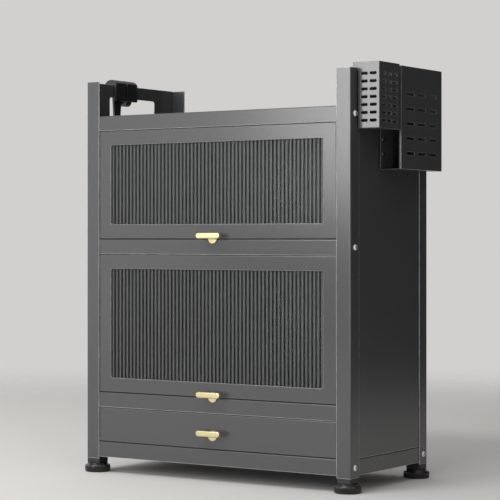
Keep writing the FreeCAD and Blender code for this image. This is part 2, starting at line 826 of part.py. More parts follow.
def runner_outer():
    """Right outer member of the runner, a channel that is open towards the tray."""
    x1 = tray_half + runner_depth
    x0 = x1 - runner_lip
    z0 = runner_middle - runner_height / 2
    z1 = runner_middle + runner_height / 2
    y0 = runner_front
    y1 = runner_front + runner_length
    body = slab(x0, x1, y0, y1, z0, z1)
    hollow = slab(x0 - 1, x1 - runner_sheet, y0 - 1, y1 + 1, z0 + runner_sheet, z1 - runner_sheet)
    return body.cut(hollow)


def runner_inner():
    """Right inner member of the runner, fixed to the wall of the tray."""
    x0 = tray_half
    x1 = tray_half + runner_inner_lip
    z0 = runner_middle - runner_inner_height / 2
    z1 = runner_middle + runner_inner_height / 2
    y0 = runner_front
    y1 = runner_front + runner_length
    body = slab(x0, x1, y0, y1, z0, z1)
    hollow = slab(x0 + runner_sheet, x1 + 1, y0 - 1, y1 + 1, z0 + runner_sheet, z1 - runner_sheet)
    return body.cut(hollow)


def runner_cage():
    """Right ball cage: a thin channel with two rows of balls."""
    x1 = tray_half + runner_inner_lip + body_gap + cage_web_gap + cage_sheet
    x0 = tray_half + runner_depth - runner_lip + body_gap
    track = (runner_inner_height / 2 + runner_height / 2 - runner_sheet) / 2
    z0 = runner_middle - track - cage_sheet / 2
    z1 = runner_middle + track + cage_sheet / 2
    y0 = runner_front + (runner_length - cage_length) / 2
    y1 = y0 + cage_length
    cage = slab(x0, x1, y0, y1, z0, z1)
    cage = cage.cut(slab(x0 - 1, x1 - cage_sheet, y0 - 1, y1 + 1, z0 + cage_sheet, z1 - cage_sheet))
    ball_x = (x0 + tray_half + runner_inner_lip) / 2
    for row in (runner_middle - track, runner_middle + track):
        for i in range(balls_per_row):
            y = (y0 + y1) / 2 + ball_pitch * (i - (balls_per_row - 1) / 2)
            cage = cage.fuse(Part.makeSphere(ball_diameter / 2, Vector(ball_x, y, row)))
    return cage.removeSplitter()


def runner_bracket():
    """Right channel bracket between the outer runner member and the side panel."""
    x0 = tray_half + runner_depth
    x1 = panel_inner
    z0 = runner_middle - bracket_height / 2
    z1 = runner_middle + bracket_height / 2
    y0 = runner_front + bracket_inset
    y1 = runner_front + runner_length - bracket_inset
    body = slab(x0, x1, y0, y1, z0, z1)
    return body.cut(slab(x0 + runner_sheet, x1 + 1, y0 - 1, y1 + 1, z0 + runner_sheet, z1 - runner_sheet))


def slots_along_y(x0, x1, y_middle, length, height, columns, pitch, rows):
    """Rounded slots through an upright sheet that faces X; rows lists their heights."""
    tools = []
    for z in rows:
        for i in range(columns):
            y = y_middle + pitch * (i - (columns - 1) / 2)
            tools.append(rounded_slab(x0, x1, y - length / 2, y + length / 2, z - height / 2,
                                      z + height / 2, (height - slot_end_flat) / 2, "x"))
    return tools


def chopstick_bin():
    """Perforated box bin with hook ears cut from its two end walls."""
    x0 = bin_back
    x1 = bin_outside
    y0 = chopstick_front
    y1 = y0 + chopstick_length
    z1 = post_top + chopstick_above_post
    z0 = z1 - chopstick_height
    box = slab(x0, x1, y0, y1, z0, z1)
    box = box.makeFillet(bin_bend, [edge for edge in box.Edges if near(edge.BoundBox.ZMin, z0)
                                    and (edge.BoundBox.ZLength > 1 or near(edge.BoundBox.ZMax, z0))])
    inside = slab(x0 + bin_sheet, x1 - bin_sheet, y0 + bin_sheet, y1 - bin_sheet, z0 + bin_sheet, z1 + 1)
    shell = box.cut(inside)
    rows = [z1 - chopstick_first_row - chopstick_row_pitch * i for i in range(chopstick_rows)]
    tools = slots_along_y(x0 + bin_sheet * 2, x1 + 1, (y0 + y1) / 2, chopstick_slot, chopstick_slot_height,
                          chopstick_side_slots, chopstick_side_pitch, rows)
    for z in rows:
        for i in range(chopstick_end_slots):
            x = (x0 + x1) / 2 + chopstick_end_pitch * (i - (chopstick_end_slots - 1) / 2)
            tools.append(rounded_slab(x - chopstick_slot / 2, x + chopstick_slot / 2, y0 - 1, y1 + 1,
                                      z - chopstick_slot_height / 2, z + chopstick_slot_height / 2,
                                      (chopstick_slot_height - slot_end_flat) / 2, "y"))
    shell = shell.cut(tools)
    slot_out = half_width + body_gap
    slot_in = slot_out - ear_slot
    for start in (y0, y1 - bin_sheet):
        ear = slab(slot_in - ear_reach, x0 + bin_bend + 1, start, start + bin_sheet,
                   post_top - ear_drop, z1)
        notch = slab(slot_in, slot_out, start - 1, start + bin_sheet + 1, post_top - ear_drop - 1,
                     post_top + body_gap)
        shell = shell.fuse(ear.cut(notch))
    return shell.removeSplitter()


def knife_bin():
    """Folded bin with a perforated outer plate, open at its front behind a narrow return."""
    x0 = bin_back
    x1 = bin_outside
    y0 = knife_front
    y1 = y0 + knife_length
    z1 = post_top + knife_above_post
    z0 = z1 - knife_height
    body = slab(x0, x1, y0, y1, z0, z1)
    folds = [edge for edge in body.Edges if near(edge.BoundBox.ZMax, z0) and edge.BoundBox.YLength > 1]
    folds += [edge for edge in body.Edges if edge.BoundBox.ZLength > 1 and near(edge.BoundBox.XMin, x1)]
    body = body.makeFillet(bin_bend, folds)
    inside = slab(x0 + bin_sheet, x1 - bin_sheet, y0 + bin_sheet, y1 - bin_sheet, z0 + bin_sheet, z1 + 1)
    body = body.cut(inside)
    body = body.cut(slab(x0 + bin_sheet, x1 - knife_return, y0 - 1, y0 + bin_sheet * 2, z0 + bin_sheet,
                         z1 + 1))
    rows = [z1 - knife_first_row - knife_row_pitch * i for i in range(knife_rows)]
    body = body.cut(slots_along_y(x1 - bin_sheet - 1, x1 + 1, (y0 + y1) / 2, knife_slot, knife_slot_height,
                                  knife_columns, knife_column_pitch, rows))
    for y, z in knife_button_places():
        body = body.cut(rod(Vector(x0 - 1, y, z), Vector(1, 0, 0), bin_sheet + 2,
                            back_screw_diameter / 2 + hole_clearance))
    over = rail_inner - body_gap
    hook_top = post_top + body_gap + bin_sheet
    for start in (y0 + knife_hook_inset, y1 - knife_hook_inset - knife_hook_width):
        end = start + knife_hook_width
        body = body.fuse(slab(over - bin_sheet, x0 + bin_sheet, start, end, post_top + body_gap, hook_top))
        body = body.fuse(slab(over - bin_sheet, over, start, end, post_top - ear_drop - body_gap, hook_top))
    return body.removeSplitter()


def knife_button_places():
    """Two buttons near each end of the back plate of the knife bin."""
    low = post_top + knife_above_post - knife_height + knife_button_height
    columns = (knife_front + knife_button_inset, cabinet_depth - post_flange - knife_button_clearance)
    return [(y, low + knife_button_pitch * i) for y in columns for i in range(2)]


def knife_bin_buttons():
    """Round-head screws with soft bases that keep the bin off the side panel."""
    screw = socket_screw(back_screw_diameter, screw_head_diameter, screw_head_height, screw_head_rim,
                         screw_head_flat, screw_socket, screw_socket_depth, bin_sheet)
    base_length = bin_back - panel_outer - body_gap
    base_start = Vector(0, 0, -bin_sheet - base_length)
    base = rod(base_start, Vector(0, 0, 1), base_length, screw_head_diameter / 2)
    button = aimed(screw.fuse(base).removeSplitter(), Vector(1, 0, 0))
    return group([moved(button, bin_back + bin_sheet, y, z) for y, z in knife_button_places()])


def hook_saddle(y0):
    """Moulded saddle that straddles the left guard rail, given at X < 0."""
    inside = -rail_inner + body_gap
    outside = -panel_outer - body_gap
    inner_face = inside + hook_inner_leg
    outer_face = outside - hook_sheet
    outer_tip = outside - hook_reach
    seat = post_top + body_gap
    shoulder = post_top + hook_shoulder
    band_edge = post_top - rail_band
    low = post_top - hook_leg_bottom
    right = Vector(inner_face, y0, shoulder)
    left = Vector(outer_tip, y0, shoulder)
    crown = Vector((inner_face + outer_tip) / 2, y0, post_top + hook_crown)
    corners = [left, Vector(outer_tip, y0, seat), Vector(outer_face, y0, seat),
               Vector(outer_face, y0, band_edge), Vector(outside, y0, band_edge), Vector(outside, y0, seat),
               Vector(inside, y0, seat), Vector(inside, y0, low), Vector(inner_face, y0, low), right]
    edges = [line(corners[i], corners[i + 1]) for i in range(len(corners) - 1)]
    edges.append(arc(right, crown, left))
    saddle = prism(edges, Vector(0, hook_width, 0))
    crown_edges = edges_where(saddle, lambda p: near(p.z, shoulder))
    sides = [edge for edge in crown_edges if edge.BoundBox.YLength < hook_width / 2]
    return saddle.makeFillet(hook_round, sides)


def rail_hook(index, stem_length):
    """Slip-on hook: saddle, tapered stem outside the rail and a curled tip."""
    y0 = hook_first + hook_pitch * index
    middle = y0 + hook_width / 2
    face = -panel_outer - body_gap
    top = post_top - rail_band + hook_root
    bottom = post_top - stem_length
    half_top = hook_stem_top / 2
    half_bottom = hook_stem_bottom / 2
    outline = [Vector(face, middle - half_top, top), Vector(face, middle + half_top, top),
               Vector(face, middle + half_bottom, bottom), Vector(face, middle - half_bottom, bottom)]
    stem = Part.Face(Part.makePolygon(outline + [outline[0]])).extrude(Vector(-hook_sheet, 0, 0))
    outer = hook_curl + hook_sheet
    middle_x = face - outer
    y1 = middle - half_bottom

    def at(x, z):
        return Vector(x, y1, bottom + z)

    curl = [
        arc(at(face, 0), at(middle_x, -outer), at(middle_x - outer, 0)),
        line(at(middle_x - outer, 0), at(middle_x - outer, hook_tip)),
        line(at(middle_x - outer, hook_tip), at(middle_x - hook_curl, hook_tip)),
        line(at(middle_x - hook_curl, hook_tip), at(middle_x - hook_curl, 0)),
        arc(at(middle_x - hook_curl, 0), at(middle_x, -hook_curl), at(middle_x + hook_curl, 0)),
        line(at(middle_x + hook_curl, 0), at(face, 0)),
    ]
    tip = prism(curl, Vector(0, hook_stem_bottom, 0))
    return hook_saddle(y0).fuse(stem).fuse(tip).removeSplitter()


def bowl_rack_rims():
    """Two wire rims of the bowl rack with the upright ends of its dipped cross wires."""
    z = middle_floor + bowl_rim
    lower = z - bowl_second_rim
    rims = wire_ring(z, rack_front, rack_back, rack_half_length, rack_corner)
    ends = [wire_ring(lower, rack_front, rack_back, rack_half_length, rack_corner)]
    for x in bowl_wire_positions():
        for y, inward in ((rack_front, 1), (rack_back, -1)):
            corner = y + inward * bowl_wire_bend
            dip = lower - bowl_dip
            swing = bowl_wire_bend * math.sqrt(0.5)
            path = [line(Vector(x, y, z), Vector(x, y, dip + bowl_wire_bend)),
                    arc(Vector(x, y, dip + bowl_wire_bend),
                        Vector(x, corner - inward * swing, dip + bowl_wire_bend - swing),
                        Vector(x, corner, dip))]
            ends.append(bent_wire(Part.Wire(path), cross_wire_diameter))
    return rims.fuse(ends).removeSplitter()


def bowl_wire_positions():
    return [bowl_wire_pitch * (i - (bowl_wires - 1) / 2) for i in range(bowl_wires)]


def bowl_rack_grid():
    """Flat bottom of the bowl rack: the straight runs of the cross wires on two rods."""
    z = middle_floor + bowl_rim - bowl_second_rim - bowl_dip
    start = rack_front + bowl_wire_bend
    length = rack_back - bowl_wire_bend - start
    runs = [rod(Vector(x, start, z), Vector(0, 1, 0), length, cross_wire_diameter / 2)
            for x in bowl_wire_positions()]
    reach = bowl_wire_pitch * (bowl_wires - 1) / 2 + wire_diameter
    for i in range(bowl_rods):
        y = (rack_front + rack_back) / 2 + bowl_rod_pitch * (i - (bowl_rods - 1) / 2)
        runs.append(rod(Vector(-reach, y, z), Vector(1, 0, 0), 2 * reach, wire_diameter / 2))
    return runs[0].fuse(runs[1:]).removeSplitter()


def rack_legs(rim, floor):
    """Four wire legs of a rack, each with a soft cap, under its long rim wires."""
    legs = []
    bottom = floor + body_gap
    for x in (-rack_half_length + rack_leg_inset, rack_half_length - rack_leg_inset):
        for y in (rack_front, rack_back):
            base = Vector(x, y, bottom)
            leg = rod(base, Vector(0, 0, 1), rim - wire_diameter / 2 - bottom, wire_diameter / 2)
            cap = rod(base, Vector(0, 0, 1), rack_cap_height, rack_cap_diameter / 2)
            top_edge = edges_where(cap, lambda p: near(p.z, bottom + rack_cap_height))
            legs.append(leg.fuse(cap.makeFillet(rack_cap_round, top_edge)).removeSplitter())
    return group(legs)


def plate_rack_frame():
    """Flat wire base of the plate rack: a rim and four long rails."""
    z = lower_floor + plate_rim
    rack = wire_ring(z, rack_front, rack_back, rack_half_length, rack_corner)
    rails = [rod(Vector(-rack_half_length, y, z), Vector(1, 0, 0), 2 * rack_half_length,
                 cross_wire_diameter / 2)
             for y in (plate_row_front, plate_rest_front, plate_rest_back, plate_row_back)]
    return rack.fuse(rails).removeSplitter()


def plate_loop_positions():
    return [plate_loop_pitch * (i - (plate_loops - 1) / 2) for i in range(plate_loops)]


def plate_rack_loops():
    """Two rows of upright hairpin loops that hold plates on edge."""
    foot_z = lower_floor + plate_rim + cross_wire_diameter / 2
    top_z = lower_floor + plate_rim + plate_loop_height
    half = (plate_loop_width - cross_wire_diameter) / 2
    crown = top_z - cross_wire_diameter / 2 - half
    loops = []
    for y in (plate_row_front, plate_row_back):
        for x in plate_loop_positions():
            rise = Vector(x - half, y, crown)
            fall = Vector(x + half, y, crown)
            path = [line(Vector(x - half, y, foot_z), rise), arc(rise, Vector(x, y, crown + half), fall),
                    line(fall, Vector(x + half, y, foot_z))]
            loops.append(bent_wire(Part.Wire(path), cross_wire_diameter))
    return group(loops)


def foot_places():
    """Axes of the four feet, each under the middle of a post."""
    near_y = foot_inset
    far_y = cabinet_depth - foot_inset
    x = half_width - foot_inset
    return {"front_left": (-x, near_y), "front_right": (x, near_y),
            "back_left": (-x, far_y), "back_right": (x, far_y)}


def build_carcass():
    """Posts, pans, panels, guard rails and their fixings."""
    shoe = post_shoe()
    rear_shoe = shoe.mirror(Vector(0, cabinet_depth / 2, 0), Vector(0, 1, 0))
    nodes = {
        "post_front_left": post(-1, True),
        "post_front_right": post(1, True),
        "post_back_left": post(-1, False),
        "post_back_right": post(1, False),
        "post_shoes": group([shoe, mirrored(shoe), rear_shoe, mirrored(rear_shoe)]),
        "top_panel": drilled_pan(panel_outer, front_plane, back_plane, top_surface, shelf_depth,
                                 [foot_inset, cabinet_depth - foot_inset]),
        "middle_shelf": drilled_pan(panel_inner, front_plane, back_plane - panel_sheet, middle_floor,
                                    shelf_depth, [foot_inset]),
        "lower_shelf": folded_pan(-panel_inner, panel_inner, front_plane, back_plane - panel_sheet,
                                  lower_floor, shelf_depth),
        "bottom_panel": drilled_pan(panel_outer, front_plane, back_plane, bottom_floor, bottom_depth,
                                    [foot_inset, cabinet_depth - foot_inset]),
        "side_panel_right": side_panel(),
        "side_panel_left": mirrored(side_panel()),
        "back_panel": back_panel(),
        "guard_rail_right": guard_rail(),
        "guard_rail_left": mirrored(guard_rail()),
        "frame_screws": frame_screws(),
        "frame_nuts": frame_nuts(),
        "back_panel_screws": back_panel_screws(),
        "upper_pivot_blocks": pivot_blocks(top_panel_edge - door_gap),
        "lower_pivot_blocks": pivot_blocks(middle_shelf_edge - door_gap),
    }
    upper_catch, upper_magnet = catch(middle_floor)
    lower_catch, lower_magnet = catch(lower_floor)
    nodes["catch_housings"] = group([upper_catch, lower_catch])
    nodes["catch_magnets"] = group([upper_magnet, lower_magnet])
    return nodes


def build_door(name, bottom, top):
    """All pieces of one flip-up door."""
    pull_z = bottom + door_gap + pull_above_edge
    return {
        name + "_door_frame": door_frame(bottom, top),
        name + "_door_liner": door_liner(bottom, top),
        name + "_door_glass": door_glass(bottom, top),
        name + "_door_gasket": door_gasket(bottom, top),
        name + "_door_handle": pull(pull_z, door_face),
        name + "_handle_screw": pull_screw(pull_z, door_face + door_sheet),
        name + "_pivot_pins": pivot_pins(top),
    }


def build_drawer():
    """The drawer, its runners and the brackets that carry them."""
    level = drawer_pull_level()
    inner = runner_inner()
    cage = runner_cage()
    outer = runner_outer()
    bracket = runner_bracket()
    return {
        "drawer_front": drawer_front(),
        "drawer_tray": drawer_tray(),
        "drawer_handle": pull(level, door_face),
        "drawer_handle_screw": pull_screw(level, door_face + door_sheet),
        "drawer_front_screws": drawer_front_screws(),
        "runner_inner_members": group([inner, mirrored(inner)]),
        "runner_ball_cages": group([cage, mirrored(cage)]),
        "runner_outer_members": group([outer, mirrored(outer)]),
        "runner_brackets": group([bracket, mirrored(bracket)]),
    }


def build_accessories():
    """Bins, hooks, racks and feet."""
    nodes = {
        "chopstick_bin": chopstick_bin(),
        "knife_bin": knife_bin(),
        "knife_bin_buttons": knife_bin_buttons(),
        "long_hook": rail_hook(0, hook_stem_length),
        "short_hook": rail_hook(1, hook_short_stem),
        "bowl_rack_rims": bowl_rack_rims(),
        "bowl_rack_grid": bowl_rack_grid(),
        "bowl_rack_legs": rack_legs(middle_floor + bowl_rim - bowl_second_rim, middle_floor),
        "plate_rack_frame": plate_rack_frame(),
        "plate_rack_loops": plate_rack_loops(),
        "plate_rack_legs": rack_legs(lower_floor + plate_rim, lower_floor),
    }
    for place, (x, y) in foot_places().items():
        nodes["foot_" + place] = foot(x, y)
    return nodes


def build_all():
    nodes = build_carcass()
    nodes.update(build_door("upper", middle_floor, top_panel_edge))
    nodes.update(build_door("lower", lower_floor, middle_shelf_edge))
    nodes.update(build_drawer())
    nodes.update(build_accessories())
    return nodes


os.makedirs("parts", exist_ok=True)
for node, shape in build_all().items():
    moved(shape, -origin_x, -origin_y, 0).exportStep("parts/" + node + ".step")
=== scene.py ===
import bmesh
import bpy
import math
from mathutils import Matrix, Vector


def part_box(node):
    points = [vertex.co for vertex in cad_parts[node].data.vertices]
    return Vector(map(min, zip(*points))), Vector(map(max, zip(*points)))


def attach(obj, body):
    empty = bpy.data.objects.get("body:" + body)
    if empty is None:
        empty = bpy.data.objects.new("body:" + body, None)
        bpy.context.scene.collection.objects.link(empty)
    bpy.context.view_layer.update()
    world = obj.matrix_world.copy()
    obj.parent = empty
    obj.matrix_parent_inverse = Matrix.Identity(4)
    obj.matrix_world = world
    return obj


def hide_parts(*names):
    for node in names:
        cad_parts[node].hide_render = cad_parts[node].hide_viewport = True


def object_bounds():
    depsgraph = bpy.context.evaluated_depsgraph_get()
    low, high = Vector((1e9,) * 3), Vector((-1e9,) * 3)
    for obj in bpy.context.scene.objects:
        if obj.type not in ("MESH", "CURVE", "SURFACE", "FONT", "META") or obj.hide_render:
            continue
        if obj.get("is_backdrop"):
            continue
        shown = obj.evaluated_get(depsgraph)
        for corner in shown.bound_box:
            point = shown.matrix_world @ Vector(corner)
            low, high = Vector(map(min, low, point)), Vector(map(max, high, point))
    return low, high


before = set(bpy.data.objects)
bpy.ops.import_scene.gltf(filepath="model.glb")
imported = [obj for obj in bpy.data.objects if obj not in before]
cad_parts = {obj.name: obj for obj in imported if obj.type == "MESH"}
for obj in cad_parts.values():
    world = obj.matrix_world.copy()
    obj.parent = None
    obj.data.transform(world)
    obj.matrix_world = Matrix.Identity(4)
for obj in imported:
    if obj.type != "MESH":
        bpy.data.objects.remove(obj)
cad_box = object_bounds()

# Corner posts: angle of 1.5 mm steel sheet with a rounded outer bend, powder coated dark grey.
# The coat is satin with a fine orange peel, and its bends and cut edges carry a pale painted
# highlight.
mm = 0.001
coat_grey = (0.06, 0.061, 0.064, 1.0)
# Pale grey that the coat paints on its edges as a highlight.
painted_edge_highlight = (0.72, 0.72, 0.72, 1.0)
coat_roughness = (0.20, 0.22)
scuff_roughness = 0.24
above_everything = 9.0


def put(tree, kind, feeds=None, **options):
    """Adds one node, sets its options and fills or links its inputs."""
    made = tree.nodes.new(kind)
    for option, value in options.items():
        setattr(made, option, value)
    for key, value in (feeds or {}).items():
        if isinstance(value, bpy.types.NodeSocket):
            tree.links.new(value, made.inputs[key])
        else:
            made.inputs[key].default_value = value
    return made


def calc(tree, operation, first, second=0.0):
    return put(tree, "ShaderNodeMath", {0: first, 1: second}, operation=operation).outputs[0]


def times(tree, first, second):
    return calc(tree, "MULTIPLY", first, second)


def parts_of(tree, vector):
    """The X, Y and Z of a vector."""
    return put(tree, "ShaderNodeSeparateXYZ", {0: vector}).outputs


def noise(tree, place, per_metre, detail=3.0):
    feeds = {"Vector": place, "Scale": per_metre, "Detail": detail}
    return put(tree, "ShaderNodeTexNoise", feeds).outputs[0]


def ramp(tree, value, low, high, to_low=0.0, to_high=1.0):
    feeds = {"Value": value, "From Min": low, "From Max": high, "To Min": to_low, "To Max": to_high}
    return put(tree, "ShaderNodeMapRange", feeds).outputs["Result"]


def blend_colour(tree, share, first, second):
    return put(tree, "ShaderNodeMix", {0: share, 6: first, 7: second}, data_type="RGBA").outputs[2]


def shade(tone, share):
    """The same colour, darker or lighter."""
    return tuple(share * part for part in tone[:3]) + (1.0,)


def finish_start(name):
    """An empty finish: its node tree, its shader and the place on the piece."""
    made = bpy.data.materials.new(name)
    made.use_nodes = True
    tree = made.node_tree
    place = put(tree, "ShaderNodeTexCoord").outputs["Object"]
    return made, tree, tree.nodes["Principled BSDF"], place


def soft_edges(tree, radius, samples):
    """Normals that turn round each edge as if it were rounded."""
    return put(tree, "ShaderNodeBevel", {"Radius": radius}, samples=samples).outputs[0]


def relief(tree, shader, height, strength, depth, rounded):
    """Fine unevenness of a surface on top of its rounded edges."""
    feeds = {"Strength": strength, "Distance": depth, "Height": height, "Normal": rounded}
    tree.links.new(put(tree, "ShaderNodeBump", feeds).outputs[0], shader.inputs["Normal"])


def powder_coat(name, edge_highlight_tone=painted_edge_highlight, dull_above=above_everything):
    """Baked powder paint with orange peel and a pale painted highlight on its edges; scuffed above
    a height.
    """
    patches, speckles, clouds, peel = 60.0, 1500.0, 3.0, 420.0
    made, tree, shader, place = finish_start(name)
    shader.inputs["Specular IOR Level"].default_value = 0.8
    rounded = soft_edges(tree, 1.5 * mm, 8)
    true_face = put(tree, "ShaderNodeNewGeometry").outputs["Normal"]
    turn = put(tree, "ShaderNodeVectorMath", {0: rounded, 1: true_face}, operation="DOT_PRODUCT")
    # Painted highlight: where the rounded normals turn away from the true face, the colour goes to
    # the pale edge tone.
    edge = ramp(tree, turn.outputs["Value"], 0.997, 0.93)
    edge = times(tree, edge, ramp(tree, noise(tree, place, patches), 0.35, 0.65, 0.6, 1.0))
    grain = ramp(tree, noise(tree, place, speckles, 2.0), 0.3, 0.7)
    speckled = blend_colour(tree, grain, shade(coat_grey, 0.86), coat_grey)
    tree.links.new(blend_colour(tree, edge, speckled, edge_highlight_tone), shader.inputs["Base Color"])
    height = parts_of(tree, place)[2]
    scuffs = ramp(tree, height, dull_above, dull_above + 0.2 * mm, 0.0, scuff_roughness)
    sheen = ramp(tree, noise(tree, place, clouds, 2.0), 0.2, 0.8, *coat_roughness)
    tree.links.new(calc(tree, "ADD", sheen, scuffs), shader.inputs["Roughness"])
    relief(tree, shader, noise(tree, place, peel, 2.0), 0.12, 0.4 * mm, rounded)
    return made


def dress(finish, *names):
    """Gives solids of the model their finish."""
    for name in names:
        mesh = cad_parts[name].data
        mesh.materials.clear()
        mesh.materials.append(finish)


dark_paint = powder_coat("dark_powder_coat")
dress(dark_paint, "post_front_left", "post_front_right", "post_back_left", "post_back_right")

# End shoes: moulded black plastic, pushed into the foot of each post with a plug.
# The plastic has a fine spark-eroded grain and a dull sheen.
shoe_black = (0.012, 0.012, 0.013, 1.0)


def moulded_plastic(name, tone, grain_size, rough):
    """Injection-moulded plastic with a fine grain and softly rounded edges."""
    made, tree, shader, place = finish_start(name)
    grain = noise(tree, place, 1.0 / grain_size)
    relief(tree, shader, grain, 0.25, 0.15 * mm, soft_edges(tree, 0.5 * mm, 6))
    cloud = noise(tree, place, 25.0)
    tree.links.new(blend_colour(tree, cloud, tone, shade(tone, 1.35)), shader.inputs["Base Color"])
    sheen = ramp(tree, cloud, 0.3, 0.7, rough - 0.05, rough + 0.07)
    tree.links.new(sheen, shader.inputs["Roughness"])
    return made


black_plastic = moulded_plastic("black_moulded_plastic", shoe_black, 0.7 * mm, 0.42)
dress(black_plastic, "post_shoes")

# Shelves, bottom and top: folded pans of 1 mm steel with lips turned down on four sides.
# Side and back panels are flat sheets of the same steel, welded and screwed to the posts.
# The upper face of the top is rubbed dull by use.
dress(dark_paint, "bottom_panel", "lower_shelf", "middle_shelf")
dress(dark_paint, "side_panel_left", "side_panel_right", "back_panel")
top_paint = powder_coat("scuffed_top_coat", dull_above=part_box("top_panel")[1].z - 0.3 * mm)
dress(top_paint, "top_panel")

# Guard rails: steel plates cut out to a band on two legs, with the same coat.
# They stand on the top panel between the posts, one on each side, and carry the hooks and bins.
dress(dark_paint, "guard_rail_left", "guard_rail_right")

# Frame screws: M6 button heads with a hexagon socket, zinc plated, into nuts behind the pans.
# Each is driven home at its own angle, so the sockets don't line up.
screw_measures = ("Head Diameter", "Head Height", "Rim", "Socket", "Socket Depth",
                  "Shank Diameter", "Shank Length")
frame_screw = (11, 3.3, 0.8, 5.4, 2.4, 6, 11)
screw_inset = 15 * mm


def bright_metal(name, tone, rough, streak=(1.0, 1.0, 1.0), metal=1.0):
    """Plated or cast metal with a fine grain that may run one way, and near-black painted shade on
    points marked as deep in a screw socket.
    """
    made, tree, shader, place = finish_start(name)
    shader.inputs["Metallic"].default_value = metal
    stretched = put(tree, "ShaderNodeMapping", {"Vector": place, "Scale": streak}).outputs[0]
    grain = noise(tree, stretched, 900.0)
    plated = blend_colour(tree, noise(tree, place, 45.0), shade(tone, 0.82), tone)
    # Painted shade: points marked deep inside a screw socket take the tone at 3 percent.
    painted_socket_shade = put(tree, "ShaderNodeAttribute", attribute_name="painted_socket_shade").outputs["Fac"]
    colour = blend_colour(tree, painted_socket_shade, plated, shade(tone, 0.03))
    tree.links.new(colour, shader.inputs["Base Color"])
    sheen = ramp(tree, grain, 0.3, 0.7, rough - 0.06, rough + 0.08)
    tree.links.new(sheen, shader.inputs["Roughness"])
    relief(tree, shader, grain, 0.08, 0.1 * mm, soft_edges(tree, 0.3 * mm, 4))
    return made


zinc = bright_metal("zinc_plated_steel", (0.95, 0.95, 0.96, 1.0), 0.32, metal=0.4)
dress(zinc, "frame_nuts")


def new_tree(name, sizes):
    """A geometry tree with named inputs: the tree, its inputs and its way out."""
    tree = bpy.data.node_groups.new(name, "GeometryNodeTree")
    for way in ("INPUT", "OUTPUT"):
        tree.interface.new_socket("Geometry", in_out=way, socket_type="NodeSocketGeometry")
    for label, kind in sizes.items():
        tree.interface.new_socket(label, in_out="INPUT", socket_type="NodeSocket" + kind)
    return tree, tree.nodes.new("NodeGroupInput").outputs, tree.nodes.new("NodeGroupOutput")


def close_tree(tree, way_out, geometry, finish):
    """Realizes what the tree made, gives it its finish and hands it out."""
    whole = put(tree, "GeometryNodeRealizeInstances", {"Geometry": geometry}).outputs[0]
    smooth = put(tree, "GeometryNodeSetShadeSmooth", {"Geometry": whole}).outputs[0]
    coated = put(tree, "GeometryNodeSetMaterial", {"Geometry": smooth, "Material": finish})
    tree.links.new(coated.outputs[0], way_out.inputs[0])


def in_scene(name, data):
    """A new object with its data, put into the scene."""
    made = bpy.data.objects.new(name, data)
    bpy.context.scene.collection.objects.link(made)
    return made


def grow(name, start, tree, sizes, crease=0.6):
    """Runs a geometry tree on a starting mesh and keeps the result as one plain mesh."""
    starter = in_scene(name + "_start", start)
    maker = starter.modifiers.new("maker", "NODES")
    maker.node_group = tree
    for item in tree.interface.items_tree:
        if item.item_type == "SOCKET" and item.in_out == "INPUT" and item.name in sizes:
            maker[item.identifier] = sizes[item.name]
    ready = starter.evaluated_get(bpy.context.evaluated_depsgraph_get())
    mesh = bpy.data.meshes.new_from_object(ready)
    mesh.materials.clear()
    mesh.materials.append(sizes["Finish"])
    mesh.set_sharp_from_angle(angle=crease)
    bpy.data.objects.remove(starter)
    return in_scene(name, mesh)


def points_mesh(name, places, aims=None):
    """Loose points, each with the direction that a screw or bead on it faces."""
    mesh = bpy.data.meshes.new(name)
    mesh.from_pydata(places, [], [])
    facing = mesh.attributes.new("aim", "FLOAT_VECTOR", "POINT")
    for i, aim in enumerate(aims or [(0.0, 0.0, 1.0)] * len(places)):
        facing.data[i].vector = aim
    return mesh


def vector(tree, x=0.0, y=0.0, z=0.0):
    return put(tree, "ShaderNodeCombineXYZ", {0: x, 1: y, 2: z}).outputs[0]


def point_parts(tree):
    """The X, Y and Z of each point."""
    return parts_of(tree, put(tree, "GeometryNodeInputPosition").outputs[0])


def out_from_axis(tree, spot, radius):
    """How far out from the upright axis a point lies, as a share of the radius."""
    squares = [times(tree, part, part) for part in (spot[0], spot[1])]
    return calc(tree, "DIVIDE", calc(tree, "SQRT", calc(tree, "ADD", *squares)), radius)


def compare(tree, first, operation, second):
    return put(tree, "FunctionNodeCompare", {0: first, 1: second}, operation=operation).outputs[0]


def moved(tree, geometry, shift):
    feeds = {"Geometry": geometry, "Translation": shift}
    return put(tree, "GeometryNodeTransform", feeds).outputs[0]


def pushed(tree, geometry, offset, chosen=True):
    """Moves each chosen point by its own offset."""
    feeds = {"Geometry": geometry, "Selection": chosen, "Offset": offset}
    return put(tree, "GeometryNodeSetPosition", feeds).outputs[0]


def upright_bar(tree, sides, radius, length, rows=1, rings=1, ends="NGON"):
    """A round or six-sided bar about the upright axis."""
    feeds = {"Vertices": sides, "Side Segments": rows, "Fill Segments": rings,
             "Radius": radius, "Depth": length}
    return put(tree, "GeometryNodeMeshCylinder", feeds, fill_type=ends).outputs[0]


